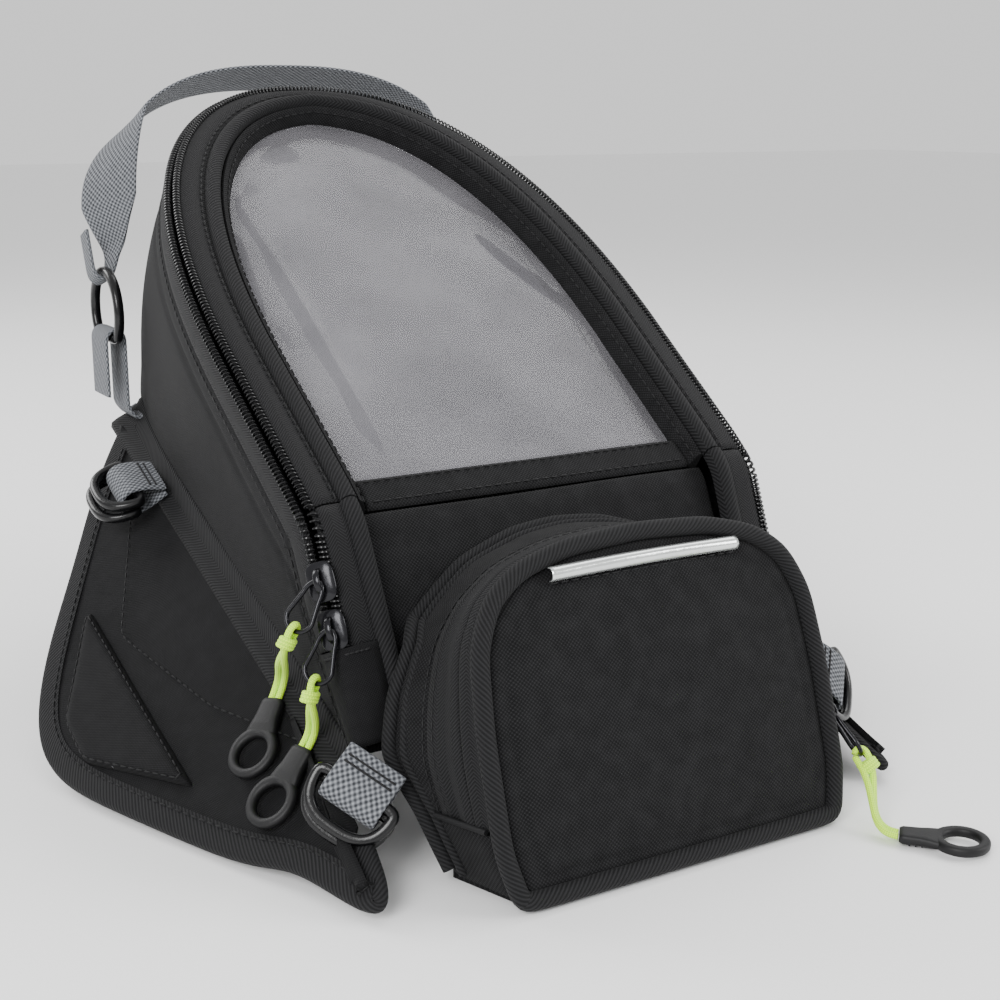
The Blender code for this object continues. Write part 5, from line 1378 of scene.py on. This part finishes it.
# ---- carry handle ----------------------------------------------------------------------------------
HANDLE_SEAM_AT = (-0.0748, 0.0935, 0.1030)
HANDLE_TWIST = math.radians(42.0)


def handle_pieces():
    """The webbing arch, gathered at its ends round the two rings, and the tabs that hold the rings."""
    for side_name, sign in (("left", 1.0), ("right", -1.0)):
        centre = np.array(HANDLE_RING_AT) * np.array([sign, 1.0, 1.0])
        turn = np.linspace(math.radians(-42.0), math.radians(222.0), 81)
        bend = centre + np.stack([0.0 * turn, HANDLE_RING_R * np.cos(turn), HANDLE_RING_R * np.sin(turn)],
                                 axis=1)
        bar_z = bend[0, 2]
        bar = [(centre[0], y, bar_z) for y in np.linspace(bend[-1, 1], bend[0, 1], 21)[1:-1]]
        line = np.concatenate([bend, bar])
        line = eased_loop(line, 5)
        side, out = line_frame(line, X_AXIS, closed=True)
        loft(f"handle_loop_{side_name}", bead_sections(line, side, out, HANDLE_RING_STOCK, HANDLE_RING_STOCK,
                                                       16, 2.6),
             GLOSS, "shell", stands_for=f"handle_ring_{side_name}", slot="gloss_plastic", wrap=(True, True))
        turn = np.linspace(0.0, math.pi, 15)
        hook = [(centre[0] - sign * HANDLE_HOOK_R * math.cos(t), centre[1],
                 bar_z + HANDLE_HOOK_R * math.sin(t))
                for t in turn]
        tab = [(centre[0] - sign * HANDLE_HOOK_R, centre[1], ANCHOR_LOW_Z + 0.004), *hook,
               (centre[0] + sign * HANDLE_HOOK_R, centre[1], ANCHOR_LOW_Z)]
        webbing_band(f"handle_tab_{side_name}", smooth_curve(tab, passes=2, step=0.0012), (0.0, 1.0, 0.0),
                     0.0190,
                     WEBBING_THICK, WEBBING, "shell", stands_for=f"handle_anchor_{side_name}", slot="webbing")
        inner_x = centre[0] + sign * HANDLE_HOOK_R
        root = np.array([sign * HANDLE_SEAM_AT[0], *HANDLE_SEAM_AT[1:]])
        hang = [(inner_x, centre[1], ANCHOR_LOW_Z + 0.007), (inner_x, centre[1], ANCHOR_LOW_Z - 0.001),
                (0.6 * inner_x + 0.4 * root[0], centre[1], ANCHOR_LOW_Z - 0.0055), tuple(root)]
        webbing_band(f"handle_tab_root_{side_name}", smooth_curve(hang, passes=3, step=0.001),
                     (0.0, 1.0, 0.0), 0.0188,
                     WEBBING_THICK, WEBBING, "shell", slot="webbing")
    lean = math.atan(HANDLE_LEAN)
    handle_up = np.array([0.0, math.sin(lean), math.cos(lean)])
    leg_start = HANDLE_RING_R + 0.010
    climb = resample(arch(HANDLE_HALF, leg_start, HANDLE_RISE - leg_start, 2.6), count=140)
    turn = np.linspace(math.pi, 0.0, 15)
    hook_x = HANDLE_RING_AT[0] + HANDLE_HOOK_R * np.cos(turn)
    left = np.stack([hook_x, HANDLE_RING_R - HANDLE_HOOK_R * np.sin(turn)], axis=1)
    left = np.concatenate([[[hook_x[0], leg_start + 0.006]], left])
    flat = resample(smooth_curve(np.concatenate([left, climb, (left * MIRROR)[::-1]]), passes=2, step=0.0015),
                    count=220)
    first_way = (flat[:, 1] - HANDLE_RING_R - 0.006) / 0.022
    gathered = np.clip(first_way, 0.0, 1.0)
    run = running_length(flat[:, None], 0)[:, 0]
    end_part = np.minimum(run, run[-1] - run) < 0.022
    gathered[end_part] = 0.0
    width = HOOK_WIDTH + (HANDLE_WIDTH - HOOK_WIDTH) * gathered
    centre = np.array([0.0, HANDLE_RING_AT[1], HANDLE_RING_AT[2]])
    path = centre + flat[:, :1] * X_AXIS + flat[:, 1:] * handle_up
    twist = HANDLE_TWIST * np.sin(math.pi * np.clip((np.minimum(run, run[-1] - run) - 0.020) / 0.075, 0.0,
                                                    1.0))
    twist = twist * -np.sign(flat[:, 0])
    flat_way = np.cross(handle_up, X_AXIS)
    forward = flat_way * np.sign(flat_way @ np.array([0.0, -1.0, 0.0]))
    way = np.cos(twist)[:, None] * forward + np.sin(twist)[:, None] * X_AXIS
    webbing_band("handle_webbing", path, way, width, WEBBING_THICK, WEBBING, "handle",
                 stands_for="carry_handle",
                 slot="webbing")


handle_pieces()


# ---- sliders, pull rings, cords and finger loops -----------------------------------------------------
def cord_path(hold, reach, out_way, end, end_way, end_side):
    """Up one strand from the tab, over the ring's far bar, and down the other strand."""
    share = np.linspace(0.0, 1.0, 13)[:, None]
    lead = 0.38 * np.linalg.norm(end - hold)
    knots = (hold, hold + lead * reach, end - lead * end_way, end)
    middle = ((1 - share) ** 3 * knots[0] + 3 * (1 - share) ** 2 * share * knots[1]
              + 3 * (1 - share) * share ** 2 * knots[2] + share ** 3 * knots[3])
    hook_r = PULL_RING_STOCK + CORD_R + 0.0002
    blend = np.clip(share / 0.55, 0.0, 1.0)
    apart = unit((1.0 - blend) * out_way + blend * end_side) * (hook_r + (0.00128 - hook_r) * blend)
    turn = np.linspace(0.0, math.pi, 9)[1:-1, None]
    bend = hold - hook_r * np.sin(turn) * reach + hook_r * np.cos(turn) * out_way
    return np.concatenate([(middle + apart)[::-1], bend, middle - apart])


def slider_pieces(name, frame, lower_half):
    """A zip slider: two domed plates with rounded outlines, the web between them and a bent bridge."""
    centre, ahead, across, out = frame

    def plate_grid(half_long, half_wide, low, high, dome):
        turn = np.linspace(0.0, 2.0 * math.pi, 40, endpoint=False)
        flat_a = np.sign(np.cos(turn)) * np.abs(np.cos(turn)) ** 0.62 * half_long
        flat_b = np.sign(np.sin(turn)) * np.abs(np.sin(turn)) ** 0.62 * half_wide
        rings = ((0.02, low), (0.94, low), (1.0, low + 0.25 * (high - low)), (1.0, low + 0.7 * (high - low)),
                 (0.93, high), (0.5, high + dome), (0.02, high + 1.2 * dome))
        return np.stack([centre + share * (flat_a[:, None] * ahead + flat_b[:, None] * across) + level * out
                         for share, level in rings])

    body = f"slider_{name}"
    loft(f"slider_top_{name}", plate_grid(0.0060, 0.0045, 0.0016, 0.0026, 0.0003), METAL, body,
         stands_for=f"zip_slider_{name}", slot="coated_metal", wrap=(False, True), caps=True)
    loft(f"slider_base_{name}", plate_grid(0.0055, lower_half, -0.0027, -0.0018, 0.0), METAL, body,
         slot="coated_metal", wrap=(False, True), caps=True)
    turn = np.linspace(0.0, math.pi, 15)
    bow = [(0.0036 * math.cos(t), 0.0020 + 0.0034 * math.sin(t) ** 0.7) for t in turn]
    line = np.stack([centre + a * ahead + c * out for a, c in [(0.0037, 0.0018), *bow, (-0.0037, 0.0018)]])
    side = np.broadcast_to(across, line.shape)
    ahead_of = tangents(line)
    grid = bead_sections(line, side, unit(np.cross(ahead_of, side)), 0.0010, 0.00050, 12, power=3.0)
    loft(f"slider_bridge_{name}", grid, METAL, body, slot="coated_metal", wrap=(False, True), caps=True)
    web = np.stack([centre + 0.0036 * ahead + level * out for level in (-0.0022, 0.0022)])
    loft(f"slider_web_{name}", bead_sections(web, ahead, across, 0.0014, 0.00025, 10), METAL, body,
         slot="coated_metal", wrap=(False, True), caps=True)


def pull_pieces(name, bar, side, reach, tab_at, tab_way, tab_side):
    """The wire ring on the slider, the doubled neon cord with its knot, and the moulded finger loop."""
    half, length = PULL_RING_HALF, PULL_RING_LENGTH
    turn = np.linspace(0.0, math.pi, 20)
    far = np.stack([length - half + half * np.sin(turn), half * np.cos(turn)], axis=1)
    near = np.stack([half - half * np.sin(turn), -half * np.cos(turn)], axis=1)
    outline = resample(np.concatenate([far, near, far[:1]]), count=90)[:-1]
    narrow = np.interp(outline[:, 0], [0.0, 0.3 * length, 0.75 * length, length], [0.62, 0.66, 1.0, 1.0])
    outline[:, 1] *= narrow
    line = bar + outline[:, :1] * reach + outline[:, 1:] * side
    across, out = line_frame(line, np.cross(side, reach), closed=True)
    loft(f"wire_ring_{name}", bead_sections(line, across, out, PULL_RING_STOCK, PULL_RING_STOCK, 12), METAL,
         f"pull_{name}", stands_for=f"pull_ring_{name}", slot="coated_metal", wrap=(True, True))
    out_way = np.cross(side, reach)
    hold = bar + length * reach
    knots = cord_path(hold, reach, out_way, tab_at, tab_way, tab_side)
    path = resample(smooth_curve(knots, passes=2, step=0.0008), step=0.0009)
    body = f"loop_{name}"
    across, out = line_frame(path, (0.31, 0.47, 0.83))
    cord = loft(f"neon_cord_{name}", bead_sections(path, across, out, CORD_R, CORD_R, 14), NEON_GLOWING, body,
                stands_for=f"pull_cord_{name}", slot="neon_cord", wrap=(False, True), caps=True)
    turn = np.linspace(0.0, 2.0 * math.pi * 3.0, 60)
    at = hold + 0.0042 * reach
    wrap_line = (at + 0.0030 * (turn / turn[-1] - 0.5)[:, None] * reach
                 + 0.0026 * np.cos(turn)[:, None] * out_way + 0.0017 * np.sin(turn)[:, None] * side)
    knot = round_bar(f"cord_knot_{name}", wrap_line, 0.00085, NEON_GLOWING, body, facing=reach, slot="neon_cord")
    loop = finger_loop(name, tab_at + GAP * tab_way, tab_way, tab_side, body)
    return cord


def finger_loop(name, start, reach, across, body):
    """A moulded tab that flares like a Y into a round loop: a superellipse section along it, then a ring."""
    out = unit(np.cross(reach, across))
    share = np.linspace(0.0, 1.0, 24)
    half_wide = np.interp(share, [0.0, 0.08, 0.5, 0.8, 1.0], [0.0034, 0.0040, 0.0043, 0.0052, 0.0058])
    half_thick = np.interp(share, [0.0, 0.08, 0.7, 1.0], [0.0014, 0.0018, 0.0018, 0.0015])
    line = start + (TAB_LENGTH * share)[:, None] * reach
    tab = loft(f"pull_tab_{name}", bead_sections(line, across, out, half_wide, half_thick, 20, power=3.6),
               SOFT, body,
               stands_for=f"finger_loop_{name}", slot="soft_plastic", wrap=(False, True), caps=True)
    middle = start + (TAB_LENGTH + LOOP_R - 0.0012) * reach
    turn = np.linspace(0.0, 2.0 * math.pi, 72, endpoint=False)
    ring = middle + LOOP_R * (np.cos(turn)[:, None] * reach + np.sin(turn)[:, None] * across)
    side, normal = line_frame(ring, out, closed=True)
    stock = LOOP_STOCK * (1.0 + 0.12 * np.clip(-np.cos(turn), 0.0, 1.0))
    loft(f"pull_loop_{name}", bead_sections(ring, side, normal, stock, LOOP_STOCK, 16, 2.6), SOFT, body,
                slot="soft_plastic", wrap=(True, True))
    for number, spot in enumerate((0.25, 0.40, 0.55)):
        sideways = np.linspace(-0.0030, 0.0030, 8)[:, None] * across
        rib = start + spot * TAB_LENGTH * reach + 0.00185 * out + sideways
        round_bar(f"pull_rib_{name}_{number}", rib, 0.00028, SOFT, body, facing=out, count=8,
                  slot="soft_plastic")
    return tab


flap_rear, flap_along, flap_down, flap_out = flap_frame(1.0)
for name, q_at in MAIN_SLIDER_Q:
    stretch = ZipRun(zip_side(q_at - 0.004, q_at + 0.004, -1.0))
    middle = len(stretch.line) // 2
    ahead, across, out = stretch.ahead[middle], stretch.to_lid[middle], stretch.corner_out[middle]
    slider_pieces(name, (stretch.origin[middle], ahead, across, out), 0.0032)
    bar = stretch.origin[middle] + PULL_BAR_OUT * out
    (tab_s, tab_w), (end_s, end_w) = TAB_ON_FLAP[name]
    tab_at = flap_rear + tab_s * flap_along + tab_w * flap_down + TAB_LIFT * flap_out
    tab_way = unit((end_s - tab_s) * flap_along + (end_w - tab_w) * flap_down)
    reach = unit(MAIN_RING_WAY[name])
    side = unit(across - (across @ reach) * reach)
    pull_pieces(name, bar, side, reach, tab_at, tab_way, np.cross(tab_way, flap_out))

COARSE_STATIONS = 61
_, coarse_edge, _, coarse_way, coarse_out = pocket_edges(COARSE_STATIONS)
middle = COARSE_STATIONS // 2
slider_at = int(np.argmin(np.abs(coarse_edge[middle:, 2] - POCKET_SLIDER_Z))) + middle
ahead = -unit(coarse_edge[slider_at + 1] - coarse_edge[slider_at - 1])
across = unit(coarse_way[slider_at] - (coarse_way[slider_at] @ ahead) * ahead)
out = coarse_out[slider_at]
chain = coarse_edge[slider_at] + POCKET_ZIP * coarse_way[slider_at] + 0.5 * GAP * out
slider_pieces("pocket", (chain, ahead, across, out), 0.0042)
bar = chain + PULL_BAR_OUT * out
reach = unit(np.array(POCKET_PULL_TIP) - bar)
side = unit(across - (across @ reach) * reach)
tab_way = unit(POCKET_TAB_WAY)
pull_pieces("pocket", bar, side, reach, np.array(POCKET_TAB_AT), tab_way,
            unit(np.cross(tab_way, (0.0, 0.0, 1.0))))

# ---- pieces that keep their own solids ---------------------------------------------------------------
for node, look in (("base_panel", SOLID_CLOTH), ("base_board", BOARD), ("base_grip_mat", RUBBER),
                   ("pocket_bottom", FLOOR_CLOTH), ("magnet_left", STEEL), ("magnet_right", STEEL)):
    for slot_of_node in frame["nodes"][node].material_slots:
        slot_of_node.material = look
